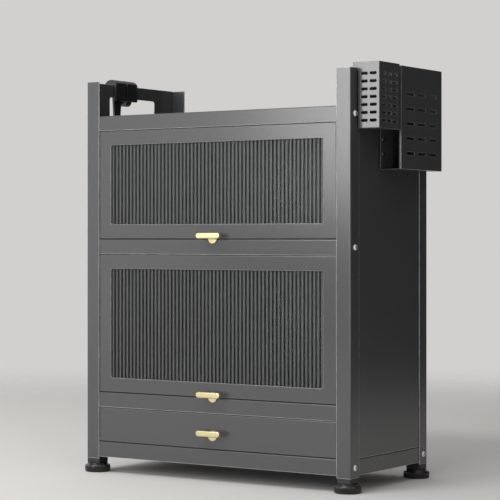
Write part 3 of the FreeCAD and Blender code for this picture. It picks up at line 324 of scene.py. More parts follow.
def screw_tree():
    """Button-head screws with a hexagon socket, one on each point, facing its aim."""
    sizes = {**dict.fromkeys(screw_measures, "Float"), "Seed": "Int", "Finish": "Material"}
    tree, size, way_out = new_tree("button_head_screws", sizes)
    radius = times(tree, size["Head Diameter"], 0.5)
    half = times(tree, size["Head Height"], 0.5)
    disc = upright_bar(tree, 36, radius, size["Head Height"], 1, 5, "TRIANGLE_FAN")
    spot = point_parts(tree)
    share = out_from_axis(tree, spot, radius)
    bulge = calc(tree, "POWER", ramp(tree, share, 0.5, 1.0), 1.8)
    drop = times(tree, bulge, calc(tree, "SUBTRACT", size["Head Height"], size["Rim"]))
    on_top = compare(tree, spot[2], "GREATER_THAN", 0.0)
    domed = pushed(tree, disc, vector(tree, z=times(tree, drop, -1.0)), on_top)
    key_radius = calc(tree, "DIVIDE", size["Socket"], math.sqrt(3))
    key = upright_bar(tree, 6, key_radius, times(tree, size["Socket Depth"], 2.0))
    up = vector(tree, z=half)
    head = put(tree, "GeometryNodeMeshBoolean", {0: domed, 1: moved(tree, key, up)},
               operation="DIFFERENCE").outputs[0]
    # Points inside the hexagon socket are stored, so that the finish paints shade on them.
    key_share = calc(tree, "DIVIDE", key_radius, times(tree, radius, 0.98))
    inside = compare(tree, share, "LESS_THAN", key_share)
    below = compare(tree, spot[2], "LESS_THAN", calc(tree, "SUBTRACT", half, 0.3 * mm))
    painted_socket_shade = put(tree, "FunctionNodeBooleanMath", {0: inside, 1: below}, operation="AND").outputs[0]
    head = put(tree, "GeometryNodeStoreNamedAttribute",
               {"Geometry": head, "Name": "painted_socket_shade", "Value": painted_socket_shade},
               data_type="FLOAT", domain="POINT").outputs[0]
    shank_radius = times(tree, size["Shank Diameter"], 0.5)
    shank = upright_bar(tree, 16, shank_radius, size["Shank Length"])
    down = vector(tree, z=times(tree, size["Shank Length"], -0.5))
    whole = put(tree, "GeometryNodeJoinGeometry")
    tree.links.new(moved(tree, shank, down), whole.inputs[0])
    tree.links.new(moved(tree, head, up), whole.inputs[0])
    aim = put(tree, "GeometryNodeInputNamedAttribute", {"Name": "aim"},
              data_type="FLOAT_VECTOR").outputs[0]
    facing = put(tree, "FunctionNodeAlignRotationToVector", {"Vector": aim}, axis="Z").outputs[0]
    spin = put(tree, "FunctionNodeRandomValue", {3: math.pi / 3, "Seed": size["Seed"]},
               data_type="FLOAT").outputs[1]
    facing = put(tree, "FunctionNodeRotateRotation", {0: facing, 1: vector(tree, z=spin)},
                 rotation_space="LOCAL").outputs[0]
    feeds = {"Points": size[0], "Instance": whole.outputs[0], "Rotation": facing}
    placed = put(tree, "GeometryNodeInstanceOnPoints", feeds).outputs[0]
    close_tree(tree, way_out, placed, size["Finish"])
    return tree


def fasten(piece, body, slot, *nodes):
    """Says what a piece rides on and which solids it stands for; the slot is not used."""
    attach(piece, body)
    if nodes:
        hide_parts(*nodes)


button_head = screw_tree()


def screws(name, node, body, places, aims, measures, finish, slot):
    """Puts button-head screws on their places and lets them stand for the plain ones."""
    sizes = {label: size * mm for label, size in zip(screw_measures, measures)}
    sizes.update({"Seed": 4, "Finish": finish})
    fasten(grow(name, points_mesh(name, places, aims), button_head, sizes, 0.5), body, slot, node)


left_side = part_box("post_front_left")[0].x
right_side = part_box("post_front_right")[1].x
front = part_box("post_front_left")[0].y
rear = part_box("post_back_left")[1].y
middle = (left_side + right_side) / 2
pan_middles = {name: (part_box(name)[0].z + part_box(name)[1].z) / 2
               for name in ("bottom_panel", "middle_shelf", "top_panel")}
screw_rows = [(front + screw_inset, height) for height in pan_middles.values()]
screw_rows += [(rear - screw_inset, pan_middles[name]) for name in ("bottom_panel", "top_panel")]
places = [(x, y, z) for x in (left_side, right_side) for y, z in screw_rows]
aims = [(-1.0 if x < middle else 1.0, 0.0, 0.0) for x, y, z in places]
screws("frame_screw_heads", "frame_screws", "cabinet", places, aims, frame_screw, zinc,
       "screw_steel")

# Back panel screws: small black button heads in a row up each rear post.
# They go through the panel into the flanges of the posts, one or two to each bay.
small_screw = (8, 2.2, 0.5, 2.5, 1.2, 4)
panel_screw_length = 5
black_oxide = bright_metal("blackened_steel", (0.09, 0.09, 0.095, 1.0), 0.34)
floors = [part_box(name)[1].z for name in ("bottom_panel", "lower_shelf", "middle_shelf")]
edges = [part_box(name)[0].z for name in ("lower_shelf", "middle_shelf", "top_panel")]
lower_bay = edges[1] - floors[1]
levels = [(floors[0] + edges[0]) / 2, floors[1] + lower_bay / 4, floors[1] + lower_bay * 3 / 4,
          (floors[2] + edges[2]) / 2]
places = [(x, rear, z) for x in (left_side + screw_inset, right_side - screw_inset)
          for z in levels]
aims = [(0.0, 1.0, 0.0)] * len(places)
screws("back_panel_screw_heads", "back_panel_screws", "cabinet", places, aims,
       small_screw + (panel_screw_length,), black_oxide, "black_steel")

# Door bearings and catches: moulded nylon blocks behind the posts carry the pivot pins.
# A magnet in a black housing under each pan holds the door shut.
nylon = moulded_plastic("natural_nylon", (0.06, 0.06, 0.058, 1.0), 1.1 * mm, 0.48)
dress(nylon, "upper_pivot_blocks", "lower_pivot_blocks")
dress(black_plastic, "catch_housings")
ferrite = bright_metal("magnet_face", (0.32, 0.31, 0.31, 1.0), 0.5)
dress(ferrite, "catch_magnets")

# Door frames: a folded front skin with a large window and a rear cover, coated like the carcass.
# A rubber ring behind the pane keeps it from rattling, and headed steel pins carry each door.
dress(dark_paint, "upper_door_frame", "lower_door_frame", "upper_door_liner", "lower_door_liner")
rubber = moulded_plastic("gasket_rubber", (0.014, 0.014, 0.014, 1.0), 0.9 * mm, 0.66)
dress(rubber, "upper_door_gasket", "lower_door_gasket")
dress(zinc, "upper_pivot_pins", "lower_pivot_pins", "upper_handle_screw", "lower_handle_screw")

# Reeded panes: 4 mm rolled glass, upright flutes of 8.5 mm pitch on the front and a flat rear.
# Each flute is a flat land between two rolled grooves, which show as bright and dark lines, and the
# glass finish paints a highlight on the front of each land.
flute_pitch = 8.5 * mm
flute_depth = 1.1 * mm
flute_columns = 16
glass_grey = (0.38, 0.39, 0.395, 1.0)
land_highlight_grey = (0.45, 0.46, 0.465, 1.0)
glass_roughness = (0.285, 0.31)


def reeded_glass(centre, rear_y):
    """Grey glass, a little uneven as rolled glass is, with a painted highlight on the front of each
    flute's land.
    """
    made, tree, shader, place = finish_start("reeded_glass")
    shader.inputs["IOR"].default_value = 1.25
    centred = put(tree, "ShaderNodeMapping", {"Vector": place, "Location": (-centre, 0.0, 0.0)})
    spot = parts_of(tree, centred.outputs[0])
    from_crest = calc(tree, "PINGPONG", calc(tree, "DIVIDE", spot[0], flute_pitch), 0.5)
    fore = ramp(tree, spot[1], rear_y - 0.4 * mm, rear_y - 1.2 * mm)
    # Painted highlight: the front face of each land is paler and lets less light through.
    land = times(tree, ramp(tree, from_crest, 0.31, 0.17), fore)
    tint = blend_colour(tree, land, glass_grey, land_highlight_grey)
    tree.links.new(tint, shader.inputs["Base Color"])
    passing = ramp(tree, land, 0.0, 1.0, 1.0, 0.84)
    tree.links.new(passing, shader.inputs["Transmission Weight"])
    sheen = ramp(tree, noise(tree, place, 12.0), 0.3, 0.7, *glass_roughness)
    tree.links.new(sheen, shader.inputs["Roughness"])
    shadow = put(tree, "ShaderNodeLightPath").outputs["Is Shadow Ray"]
    clear = put(tree, "ShaderNodeBsdfTransparent", {0: tint}).outputs[0]
    lit = put(tree, "ShaderNodeMixShader", {0: shadow, 1: shader.outputs[0], 2: clear}).outputs[0]
    tree.links.new(lit, tree.nodes["Material Output"].inputs["Surface"])
    return made


def pane_tree():
    """A closed pane with flat lands and grooves between them on its front, and a flat rear."""
    floats = ("Width", "Height", "Thickness", "Pitch", "Depth", "Land")
    sizes = {**dict.fromkeys(floats, "Float"), "Columns": "Int", "Rows": "Int",
             "Centre": "Vector", "Finish": "Material"}
    tree, size, way_out = new_tree("reeded_pane", sizes)
    block = vector(tree, size["Width"], size["Thickness"], size["Height"])
    feeds = {"Size": block, "Vertices X": size["Columns"], "Vertices Y": 2,
             "Vertices Z": size["Rows"]}
    sheet = put(tree, "GeometryNodeMeshCube", feeds).outputs[0]
    spot = point_parts(tree)
    half_pitch = times(tree, size["Pitch"], 0.5)
    from_crest = calc(tree, "PINGPONG", calc(tree, "ABSOLUTE", spot[0]), half_pitch)
    land = times(tree, half_pitch, size["Land"])
    back_off = ramp(tree, from_crest, land, half_pitch, 0.0, size["Depth"])
    on_front = compare(tree, spot[1], "LESS_THAN", 0.0)
    fluted = pushed(tree, sheet, vector(tree, y=back_off), on_front)
    close_tree(tree, way_out, moved(tree, fluted, size["Centre"]), size["Finish"])
    return tree


glass = reeded_glass(middle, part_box("upper_door_glass")[1].y)
pane = pane_tree()
for door in ("upper", "lower"):
    low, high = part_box(door + "_door_glass")
    flutes = int((high.x - low.x) / flute_pitch)
    flutes -= 1 - flutes % 2
    sizes = {"Width": high.x - low.x, "Height": high.z - low.z, "Thickness": high.y - low.y,
             "Pitch": flute_pitch, "Depth": flute_depth, "Land": 0.5,
             "Columns": flute_columns * flutes + 1, "Rows": 2,
             "Centre": (low + high) / 2, "Finish": glass}
    piece = grow(door + "_reeded_pane", bpy.data.meshes.new("empty"), pane, sizes, 0.7)
    fasten(piece, door + "_door", "reeded_glass", door + "_door_glass")

# Pulls: cast zinc in pale gold, a flat bar with round ends on a stem and a rosette set lower.
# A screw from behind holds each, through the skin of the door or drawer.
pull_gold = bright_metal("pale_gold_plating", (0.88, 0.79, 0.44, 1.0), 0.3, (1.0, 12.0, 12.0))
pull_half = 21.5 * mm
pull_round = 5.5 * mm
pull_thick = 6 * mm
stem_radius = 3.6 * mm
rosette_radius = 10 * mm
rosette_thick = 2.5 * mm
rosette_drop = 5 * mm


def shell_piece(name, mesh_work, finish, crease=0.7):
    """Closes a piece made ring by ring: faces outwards, smooth, in its finish."""
    bmesh.ops.remove_doubles(mesh_work, verts=mesh_work.verts, dist=1e-7)
    bmesh.ops.recalc_face_normals(mesh_work, faces=mesh_work.faces)
    mesh = bpy.data.meshes.new(name)
    mesh_work.to_mesh(mesh)
    mesh_work.free()
    mesh.shade_smooth()
    mesh.set_sharp_from_angle(angle=crease)
    mesh.materials.append(finish)
    return in_scene(name, mesh)


def skin_rings(work, rings):
    """Joins rings of points into a closed skin with both ends capped."""
    rows = [[work.verts.new(p) for p in ring] for ring in rings]
    count = len(rows[0])
    for first, second in zip(rows, rows[1:]):
        for i in range(count):
            j = (i + 1) % count
            work.faces.new((first[i], first[j], second[j], second[i]))
    work.faces.new(rows[0])
    work.faces.new(rows[-1])


def capsule(x, y, z, half, radius, steps=14):
    """Outline of a bar with round ends, seen from the front."""
    ring = []
    for sign in (1, -1):
        for i in range(steps + 1):
            turn = -math.pi / 2 + math.pi * i / steps
            out = half + radius * math.cos(turn)
            ring.append((x + sign * out, y, z + sign * radius * math.sin(turn)))
    return ring


def disc(x, y, z, radius, steps=40):
    """Outline of a rosette or stem, seen from the front."""
    turns = [2 * math.pi * i / steps for i in range(steps)]
    return [(x + radius * math.cos(turn), y, z + radius * math.sin(turn)) for turn in turns]


def rounding(start, radius, steps=6):
    """Steps of a quarter round: how far in and how far along for each ring."""
    turns = [math.pi / 2 * i / steps for i in range(steps + 1)]
    return [(radius * (1 - math.cos(turn)), start + radius * (1 - math.sin(turn)))
            for turn in turns]


def pull(name, node, body):
    """One pull: its bar, the stem that flares into both ends, and the rosette on the skin."""
    low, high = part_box(node)
    x, z = (low.x + high.x) / 2, high.z - pull_round
    tip, seat = low.y, high.y
    bar_back = tip + pull_thick
    bar = [capsule(x, bar_back, z, pull_half, pull_round - 0.5 * mm),
           capsule(x, bar_back - 0.5 * mm, z, pull_half, pull_round)]
    bar += [capsule(x, y, z, pull_half, pull_round - inward)
            for inward, y in rounding(tip, 1.8 * mm)]
    bar.append(capsule(x, tip, z, pull_half, 0.4 * pull_round))
    face = seat - rosette_thick
    stem = [disc(x, bar_back - 1 * mm, z, 4.3 * mm), disc(x, bar_back + 0.6 * mm, z, stem_radius),
            disc(x, face - 1.2 * mm, z, stem_radius), disc(x, face + 0.4 * mm, z, 4.6 * mm)]
    plate_z = z - rosette_drop
    plate = [disc(x, seat, plate_z, rosette_radius)]
    plate += [disc(x, y, plate_z, rosette_radius - inward)
              for inward, y in rounding(face, 1.2 * mm)]
    plate.append(disc(x, face - 0.1 * mm, plate_z, rosette_radius / 2))
    work = bmesh.new()
    for rings in (bar, stem, plate):
        skin_rings(work, rings)
    fasten(shell_piece(name, work, pull_gold), body, "pale_gold", node)


pull("upper_pull", "upper_door_handle", "upper_door")
pull("lower_pull", "lower_door_handle", "lower_door")

# Drawer: a folded front on a folded tray, in the same coat, with a pull like those of the doors.
# Four screws from inside the tray hold the front, and one more holds the pull.
tray_screw_length = 9
dress(dark_paint, "drawer_front", "drawer_tray")
dress(zinc, "drawer_handle_screw")
pull("drawer_pull", "drawer_handle", "drawer")
low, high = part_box("drawer_front_screws")
seat = high.y - 2.2 * mm
head_radius = 4 * mm
places = [(x, seat, z) for x in (low.x + head_radius, high.x - head_radius)
          for z in (low.z + head_radius, high.z - head_radius)]
screws("drawer_front_screw_heads", "drawer_front_screws", "drawer", places,
       [(0.0, 1.0, 0.0)] * len(places), small_screw + (tray_screw_length,), zinc, "screw_steel")

# Runners: roll-formed channels of zinc-plated steel with a ball cage between them.
# The rolling leaves fine marks along their length, and brackets hold them behind the posts.
runner_zinc = bright_metal("rolled_zinc", (0.55, 0.57, 0.6, 1.0), 0.36, (12.0, 1.0, 12.0))
dress(runner_zinc, "runner_inner_members", "runner_outer_members", "runner_ball_cages",
      "runner_brackets")

# Bins: folded and punched 1 mm sheet in the same coat, hooked over the right guard rail.
# Their edges carry a fainter painted highlight than those of the carcass.
bin_edge_highlight = (0.19, 0.19, 0.195, 1.0)
bin_paint = powder_coat("bin_powder_coat", bin_edge_highlight)
dress(bin_paint, "chopstick_bin", "knife_bin")
dress(black_oxide, "knife_bin_buttons")

# Slip-on hooks: black moulded plastic with generous radii, straddling the left guard rail.
# Each is one moulding: saddle, tapered stem outside the rail and a curled tip.
hook_edge_round = 1.1 * mm


def hook_moulding(name, node, body):
    """A moulding with the form of a plain solid and all its sharp edges rounded."""
    work = bmesh.new()
    work.from_mesh(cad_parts[node].data)
    bmesh.ops.remove_doubles(work, verts=work.verts, dist=1e-6)
    bmesh.ops.dissolve_limit(work, angle_limit=math.radians(1.0), verts=work.verts,
                             edges=work.edges)
    mesh = bpy.data.meshes.new(name)
    work.to_mesh(mesh)
    work.free()
    mesh.materials.clear()
    mesh.materials.append(black_plastic)
    mesh.shade_smooth()
    piece = in_scene(name, mesh)
    rounding_off = piece.modifiers.new("edge_rounding", "BEVEL")
    rounding_off.width = hook_edge_round
    rounding_off.segments = 4
    rounding_off.limit_method = "ANGLE"
    rounding_off.angle_limit = math.radians(35.0)
    rounding_off.harden_normals = True
    fasten(piece, body, "black_plastic", node)


hook_moulding("front_rail_hook", "long_hook", "front_hook")
hook_moulding("rear_rail_hook", "short_hook", "rear_hook")

# Upper rack: steel wire bent and resistance welded at every crossing, then dip coated in black.
# Cross wires dip between two long rims and rest on two rods, and capped legs carry the rims.
wire_coat = moulded_plastic("dip_coated_wire", (0.02, 0.02, 0.021, 1.0), 2.5 * mm, 0.3)
wire = 3.0 * mm
cross_wire = 2.5 * mm
bead_size = 3.9 * mm
wire_crease = 1.0
rim_bend = 14 * mm
rim_spacing = 4.5 * mm
dip_bend = 12 * mm
dip_count = 13
dip_pitch = 34.0 * mm
rod_half = 36.0 * mm


def wire_tree():
    """Round wire bent along paths, repeated in a row at an even pitch."""
    sizes = {"Wire": "Float", "Bend": "Float", "Bend Steps": "Int", "Count": "Int",
             "Pitch": "Vector", "Finish": "Material"}
    tree, size, way_out = new_tree("bent_wires", sizes)
    line = put(tree, "GeometryNodeMeshToCurve", {"Mesh": size[0]}).outputs[0]
    feeds = {"Curve": line, "Radius": size["Bend"], "Limit Radius": True,
             "Count": size["Bend Steps"]}
    bent = put(tree, "GeometryNodeFilletCurve", feeds, mode="POLY").outputs[0]
    feeds = {"Resolution": 10, "Radius": times(tree, size["Wire"], 0.5)}
    section = put(tree, "GeometryNodeCurvePrimitiveCircle", feeds).outputs[0]
    feeds = {"Curve": bent, "Profile Curve": section, "Fill Caps": True}
    drawn = put(tree, "GeometryNodeCurveToMesh", feeds).outputs[0]
    share = times(tree, calc(tree, "SUBTRACT", size["Count"], 1.0), -0.5)
    begin = put(tree, "ShaderNodeVectorMath", {0: size["Pitch"], "Scale": share},
                operation="SCALE").outputs[0]
    feeds = {"Count": size["Count"], "Start Location": begin, "Offset": size["Pitch"]}
    row = put(tree, "GeometryNodeMeshLine", feeds).outputs[0]
    placed = put(tree, "GeometryNodeInstanceOnPoints", {"Points": row, "Instance": drawn})
    close_tree(tree, way_out, placed.outputs[0], size["Finish"])
    return tree


def bead_tree():
    """A flattened bead of weld metal on each crossing, no two alike."""
    sizes = {"Bead": "Float", "Seed": "Int", "Finish": "Material"}
    tree, size, way_out = new_tree("weld_beads", sizes)
    feeds = {"Segments": 8, "Rings": 6, "Radius": times(tree, size["Bead"], 0.5)}
    ball = put(tree, "GeometryNodeMeshUVSphere", feeds).outputs[0]
    feeds = {0: (0.85, 0.85, 0.7), 1: (1.15, 1.15, 0.95), "Seed": size["Seed"]}
    spread = put(tree, "FunctionNodeRandomValue", feeds, data_type="FLOAT_VECTOR").outputs[0]
    feeds = {"Points": size[0], "Instance": ball, "Scale": spread}
    placed = put(tree, "GeometryNodeInstanceOnPoints", feeds).outputs[0]
    close_tree(tree, way_out, placed, size["Finish"])
    return tree


bent_wires = wire_tree()
weld_beads = bead_tree()


def path_mesh(name, paths, closed=False):
    """Straight runs between bend points, ready for bending."""
    mesh = bpy.data.meshes.new(name)
    points = [p for path in paths for p in path]
    runs = []
    start = 0
    for path in paths:
        runs += [(start + i, start + i + 1) for i in range(len(path) - 1)]
        if closed:
            runs.append((start + len(path) - 1, start))
        start += len(path)
    mesh.from_pydata(points, runs, [])
    return mesh


def wires(name, paths, thick, bend=0.0, count=1, pitch=0.0, closed=False):
    """Wires of one thickness, bent along their paths and repeated from left to right."""
    sizes = {"Wire": thick, "Bend": bend, "Bend Steps": 6, "Count": count,
             "Pitch": (pitch, 0.0, 0.0), "Finish": wire_coat}
    return grow(name, path_mesh(name, paths, closed), bent_wires, sizes, wire_crease)


def beads(name, places):
    sizes = {"Bead": bead_size, "Seed": 11, "Finish": wire_coat}
    return grow(name, points_mesh(name, places), weld_beads, sizes)


def one_piece(name, parts):
    """Joins meshes that the maker welds together into one piece."""
    work = bmesh.new()
    for part in parts:
        work.from_mesh(part.data)
        bpy.data.objects.remove(part)
    mesh = bpy.data.meshes.new(name)
    work.to_mesh(mesh)
    work.free()
    mesh.materials.append(wire_coat)
    mesh.shade_smooth()
    mesh.set_sharp_from_angle(angle=wire_crease)
    return in_scene(name, mesh)


def rack_ring(low, high, z):
    return [(low.x, low.y, z), (high.x, low.y, z), (high.x, high.y, z), (low.x, high.y, z)]


def turned(x, y, base, outline, sides):
    """Rings of a form turned about an upright axis, from its heights and radii."""
    turns = [2 * math.pi * i / sides for i in range(sides)]
    return [[(x + r * math.cos(turn), y + r * math.sin(turn), base + up) for turn in turns]
            for up, r in outline]


def rack_legs(name, node, body):
    """Soft caps and short wire legs under the long sides of a rack."""
    low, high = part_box(node)
    cap = 3.0 * mm
    outline = [(0.0, 2.2 * mm), (0.5 * mm, 2.8 * mm), (1.2 * mm, cap), (6.6 * mm, cap),
               (7.6 * mm, 2.6 * mm), (8.0 * mm, 1.9 * mm), (8.1 * mm, wire / 2),
               (high.z - low.z, wire / 2)]
    work = bmesh.new()
    for x in (low.x + cap, high.x - cap):
        for y in (low.y + cap, high.y - cap):
            skin_rings(work, turned(x, y, low.z, outline, 16))
    fasten(shell_piece(name, work, rubber), body, "rack_wire", node)


skin = Vector((wire, wire, 0.0)) / 2
low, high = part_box("bowl_rack_rims")
low, high = low + skin, high - skin
rim = high.z - wire / 2
second_rim = rim - rim_spacing
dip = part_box("bowl_rack_grid")[0].z + wire / 2
centre_x = (low.x + high.x) / 2
centre_y = (low.y + high.y) / 2
columns = [centre_x + dip_pitch * (i - dip_count // 2) for i in range(dip_count)]
rod_rows = [centre_y - rod_half, centre_y + rod_half]
rod_reach = dip_count // 2 * dip_pitch + wire
rim_paths = [rack_ring(low, high, z) for z in (rim, second_rim)]
rings = wires("bowl_rims", rim_paths, wire, rim_bend, closed=True)
dipped = [(centre_x, low.y, rim), (centre_x, low.y, dip),
          (centre_x, high.y, dip), (centre_x, high.y, rim)]
cradle = wires("bowl_wires", [dipped], cross_wire, dip_bend, dip_count, dip_pitch)
rod_paths = [[(centre_x - rod_reach, y, dip), (centre_x + rod_reach, y, dip)] for y in rod_rows]
rods = wires("bowl_rods", rod_paths, wire)
spots = [(x, y, z) for x in columns for y in (low.y, high.y) for z in (rim, second_rim)]
spots += [(x, y, dip) for x in columns for y in rod_rows]
bowl_rack = one_piece("bowl_rack", [rings, cradle, rods, beads("bowl_beads", spots)])
fasten(bowl_rack, "bowl_rack", "rack_wire", "bowl_rack_rims", "bowl_rack_grid")
rack_legs("bowl_rack_feet", "bowl_rack_legs", "bowl_rack")

# Lower rack: the same wire, weld and coat, with a flat base of one rim and four long rails.
# Two rows of hairpin loops stand on the rails, and capped legs carry the rim.
loop_half = 4.75 * mm
loop_bend = 4.7 * mm
loop_count = 17
loop_pitch = 26.0 * mm
front_row_inset = 40 * mm
rear_row_inset = 54 * mm
rest_rail_step = 41 * mm
low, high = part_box("plate_rack_frame")
low, high = low + skin, high - skin
rim = high.z - wire / 2
loop_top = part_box("plate_rack_loops")[1].z - cross_wire / 2
loop_rows = [low.y + front_row_inset, high.y - rear_row_inset]
rails = loop_rows + [loop_rows[0] + rest_rail_step, loop_rows[1] - rest_rail_step]
base = wires("plate_rim", [rack_ring(low, high, rim)], wire, rim_bend, closed=True)
rail_paths = [[(low.x, y, rim), (high.x, y, rim)] for y in rails]
long_rails = wires("plate_rails", rail_paths, cross_wire)
left_leg, right_leg = centre_x - loop_half, centre_x + loop_half
hairpins = [[(left_leg, y, rim), (left_leg, y, loop_top), (right_leg, y, loop_top),
             (right_leg, y, rim)] for y in loop_rows]
loops = wires("plate_loops", hairpins, cross_wire, loop_bend, loop_count, loop_pitch)
spots = [(x, y, rim) for x in (low.x, high.x) for y in rails]
spots += [(centre_x + loop_pitch * (i - loop_count // 2) + side, y, rim)
          for i in range(loop_count) for side in (-loop_half, loop_half) for y in loop_rows]
plate_rack = one_piece("plate_rack", [base, long_rails, loops, beads("plate_beads", spots)])
fasten(plate_rack, "plate_rack", "rack_wire", "plate_rack_frame", "plate_rack_loops")
rack_legs("plate_rack_feet", "plate_rack_legs", "plate_rack")

# Feet: turned by hand to level the cabinet; a ribbed puck, a collar and a threaded steel stud.
# The puck and collar are moulded in black plastic round the head of the stud.
foot_plastic = moulded_plastic("foot_plastic", (0.008, 0.008, 0.008, 1.0), 0.8 * mm, 0.12)
puck_height = 14 * mm
puck_ribs = 36
rib_columns = 8
collar_outline = [(puck_height - 0.4 * mm, 20.6 * mm), (puck_height + 0.5 * mm, 20 * mm),
                  (16.5 * mm, 20 * mm), (17.3 * mm, 19.4 * mm), (17.7 * mm, 18.4 * mm),
                  (17.6 * mm, 8 * mm), (17.7 * mm, 6.5 * mm)]
thread_start = 17.4 * mm
thread_root = 3.4 * mm
thread_crest = 4 * mm


def puck_tree():
    """A round puck with upright ribs for the fingers and a chamfer above and below."""
    sizes = {"Diameter": "Float", "Height": "Float", "Chamfer": "Float", "Ribs": "Int",
             "Rib Depth": "Float", "Centre": "Vector", "Finish": "Material"}
    tree, size, way_out = new_tree("ribbed_puck", sizes)
    radius = times(tree, size["Diameter"], 0.5)
    around = times(tree, size["Ribs"], float(rib_columns))
    block = upright_bar(tree, around, radius, size["Height"], 9, 4, "TRIANGLE_FAN")
    spot = point_parts(tree)
    on_rim = ramp(tree, out_from_axis(tree, spot, radius), 0.7, 1.0)
    turn = times(tree, calc(tree, "ARCTAN2", spot[1], spot[0]), size["Ribs"])
    groove = calc(tree, "POWER", calc(tree, "MAXIMUM", calc(tree, "COSINE", turn), 0.0), 0.6)
    groove = times(tree, times(tree, groove, size["Rib Depth"]), on_rim)
    half = times(tree, size["Height"], 0.5)
    height = calc(tree, "DIVIDE", calc(tree, "ABSOLUTE", spot[2]), half)
    slope = ramp(tree, height, 0.66, 1.0)
    inward = times(tree, times(tree, slope, on_rim), size["Chamfer"])
    pull_in = calc(tree, "DIVIDE", calc(tree, "ADD", groove, inward), times(tree, radius, -1.0))
    shift = put(tree, "ShaderNodeVectorMath",
                {0: vector(tree, spot[0], spot[1]), "Scale": pull_in},
                operation="SCALE").outputs[0]
    placed = moved(tree, pushed(tree, block, shift), size["Centre"])
    close_tree(tree, way_out, placed, size["Finish"])
    return tree


def turned_piece(name, x, y, outline, sides, finish):
    """A piece turned about the foot's axis, with its heights measured from the floor."""
    work = bmesh.new()
    skin_rings(work, turned(x, y, 0.0, outline, sides))
    return shell_piece(name, work, finish, 0.5)


ribbed_puck = puck_tree()
for corner in ("front_left", "front_right", "back_left", "back_right"):
    low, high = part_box("foot_" + corner)
    x, y = (low.x + high.x) / 2, (low.y + high.y) / 2
    sizes = {"Diameter": high.x - low.x, "Height": puck_height, "Chamfer": 2 * mm,
             "Ribs": puck_ribs, "Rib Depth": 0.9 * mm, "Centre": (x, y, puck_height / 2),
             "Finish": foot_plastic}
    puck = grow(corner + "_puck", bpy.data.meshes.new("empty"), ribbed_puck, sizes, 0.5)
    collar = turned_piece(corner + "_collar", x, y, collar_outline, 48, foot_plastic)
    threads = [(thread_start, thread_root)]
    while threads[-1][0] < high.z - 1.3 * mm:
        up = threads[-1][0]
        threads += [(up + 0.6 * mm, thread_crest), (up + 1.2 * mm, thread_root)]
    stud = turned_piece(corner + "_stud", x, y, threads, 24, zinc)
    fasten(puck, corner + "_foot", "foot_plastic", "foot_" + corner)
    fasten(collar, corner + "_foot", "foot_plastic")
    fasten(stud, corner + "_foot", "screw_steel")

# Studio: a pale matt floor that fades into the backdrop, so that no horizon shows.
# Soft panels light the front and the top, narrow ones the bends, and two black cards,
# out of the camera's sight, keep reflections off the right side and the front.
pale_floor = (0.64, 0.63, 0.615, 1.0)
pale_backdrop = (0.64, 0.63, 0.62, 1.0)
fade_start, fade_end = 1.1, 3.3
lamp_target = Vector((0, 0, 0.4))


def floor_disc(radius, steps=96):
    mesh = bpy.data.meshes.new("floor")
    turns = [2 * math.pi * i / steps for i in range(steps)]
    ring = [(radius * math.cos(turn), radius * math.sin(turn), 0.0) for turn in turns]
    mesh.from_pydata(ring, [], [list(range(steps))])
    return in_scene("floor", mesh)


floor = floor_disc(6.0)
stone, tree, shader, place = finish_start("pale_floor")
shader.inputs["Roughness"].default_value = 0.9
shader.inputs["Specular IOR Level"].default_value = 0.1
shader.inputs["Base Color"].default_value = pale_floor
away = put(tree, "ShaderNodeVectorMath", {0: place}, operation="LENGTH").outputs["Value"]
gone = put(tree, "ShaderNodeMapRange",
           {"Value": away, "From Min": fade_start, "From Max": fade_end},
           interpolation_type="SMOOTHERSTEP").outputs["Result"]
clear = put(tree, "ShaderNodeBsdfTransparent").outputs[0]
mixed = put(tree, "ShaderNodeMixShader", {0: gone, 1: shader.outputs[0], 2: clear}).outputs[0]
tree.links.new(mixed, tree.nodes["Material Output"].inputs["Surface"])
floor.data.materials.append(stone)
floor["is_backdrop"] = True

world = bpy.data.worlds.new("studio")
bpy.context.scene.world = world
world.use_nodes = True
backdrop = world.node_tree.nodes["Background"]
backdrop.inputs["Color"].default_value = pale_backdrop
backdrop.inputs["Strength"].default_value = 1.0


def soft_box(name, azimuth, distance, height, width, tall, radiance):
    """A large soft light at the given side, aimed at the middle of the object."""
    lamp = bpy.data.lights.new(name, "AREA")
    lamp.shape = "RECTANGLE"
    lamp.size = width
    lamp.size_y = tall
    lamp.energy = radiance * math.pi * width * tall
    light = in_scene(name, lamp)
    turn = math.radians(azimuth)
    light.location = (distance * math.sin(turn), -distance * math.cos(turn), height)
    light.rotation_mode = "QUATERNION"
    light.rotation_quaternion = (light.location - lamp_target).to_track_quat("Z", "Y")
    light.visible_camera = False


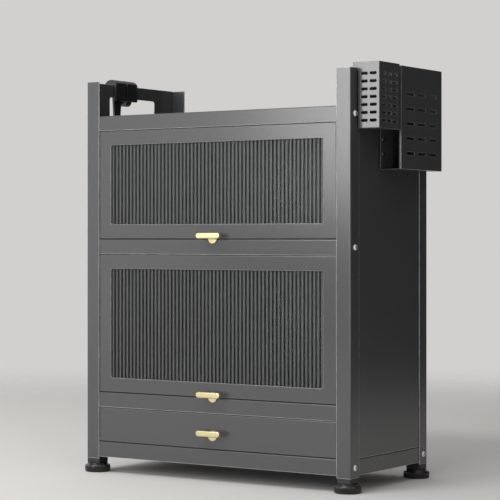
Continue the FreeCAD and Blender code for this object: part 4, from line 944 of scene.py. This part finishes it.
soft_box("front_light", -16.0, 3.2, 1.25, 1.55, 1.3, 6.8)
soft_box("low_panel", -48.0, 3.0, 0.75, 1.7, 1.4, 1.0)
soft_box("top_light", -6.0, 1.6, 2.3, 2.0, 0.4, 11.0)
soft_box("bend_strip", -8.0, 3.2, 0.55, 0.5, 1.0, 7.0)
soft_box("right_strip", 44.0, 3.0, 1.0, 0.25, 1.8, 8.0)
soft_box("left_strip", -88.0, 2.6, 1.1, 0.8, 1.5, 4.0)

felt, _, shader, _ = finish_start("black_felt")
shader.inputs["Base Color"].default_value = (0.01, 0.01, 0.01, 1.0)
shader.inputs["Roughness"].default_value = 1.0


def black_card(name, line, bottom, top):
    """An upright black screen that follows a line on the plan, unseen by the camera."""
    mesh = bpy.data.meshes.new(name)
    points = [(x, y, z) for x, y in line for z in (bottom, top)]
    faces = [(2 * i, 2 * i + 2, 2 * i + 3, 2 * i + 1) for i in range(len(line) - 1)]
    mesh.from_pydata(points, [], faces)
    mesh.materials.append(felt)
    card = in_scene(name, mesh)
    card.visible_camera = False
    card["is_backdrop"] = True


black_card("right_card", [(0.38, 4.94), (4.56, -0.57)], -4.56, 4.56)
bow_radius = 4.6
bow = [math.radians(turn) for turn in range(-110, 71, 10)]
bow_line = [(bow_radius * math.sin(turn), -bow_radius * math.cos(turn)) for turn in bow]
black_card("front_card", bow_line, 0.0, 2.6)

# Camera: a little above the middle of the cabinet, to the right of its front, as photographed.
# A long lens from 3.5 m away, held level so that uprights stay parallel, with a small shift.
camera_right, camera_away, camera_height = 1.982, 2.886, 0.4597
camera_turn = 33.88
eye = bpy.data.cameras.new("camera")
eye.lens = 134.06
eye.sensor_width = 36.0
eye.shift_x = 0.0358
eye.shift_y = -0.0244
eye.clip_end = 50.0
camera = in_scene("camera", eye)
camera.location = (middle + camera_right, front - camera_away, camera_height)
camera.rotation_euler = (math.pi / 2, 0.0, math.radians(camera_turn))
bpy.context.scene.camera = camera
bpy.context.scene.view_settings.view_transform = "Standard"

made_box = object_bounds()
sizes = {"cad": [list(corner) for corner in cad_box], "made": [list(corner) for corner in made_box]}
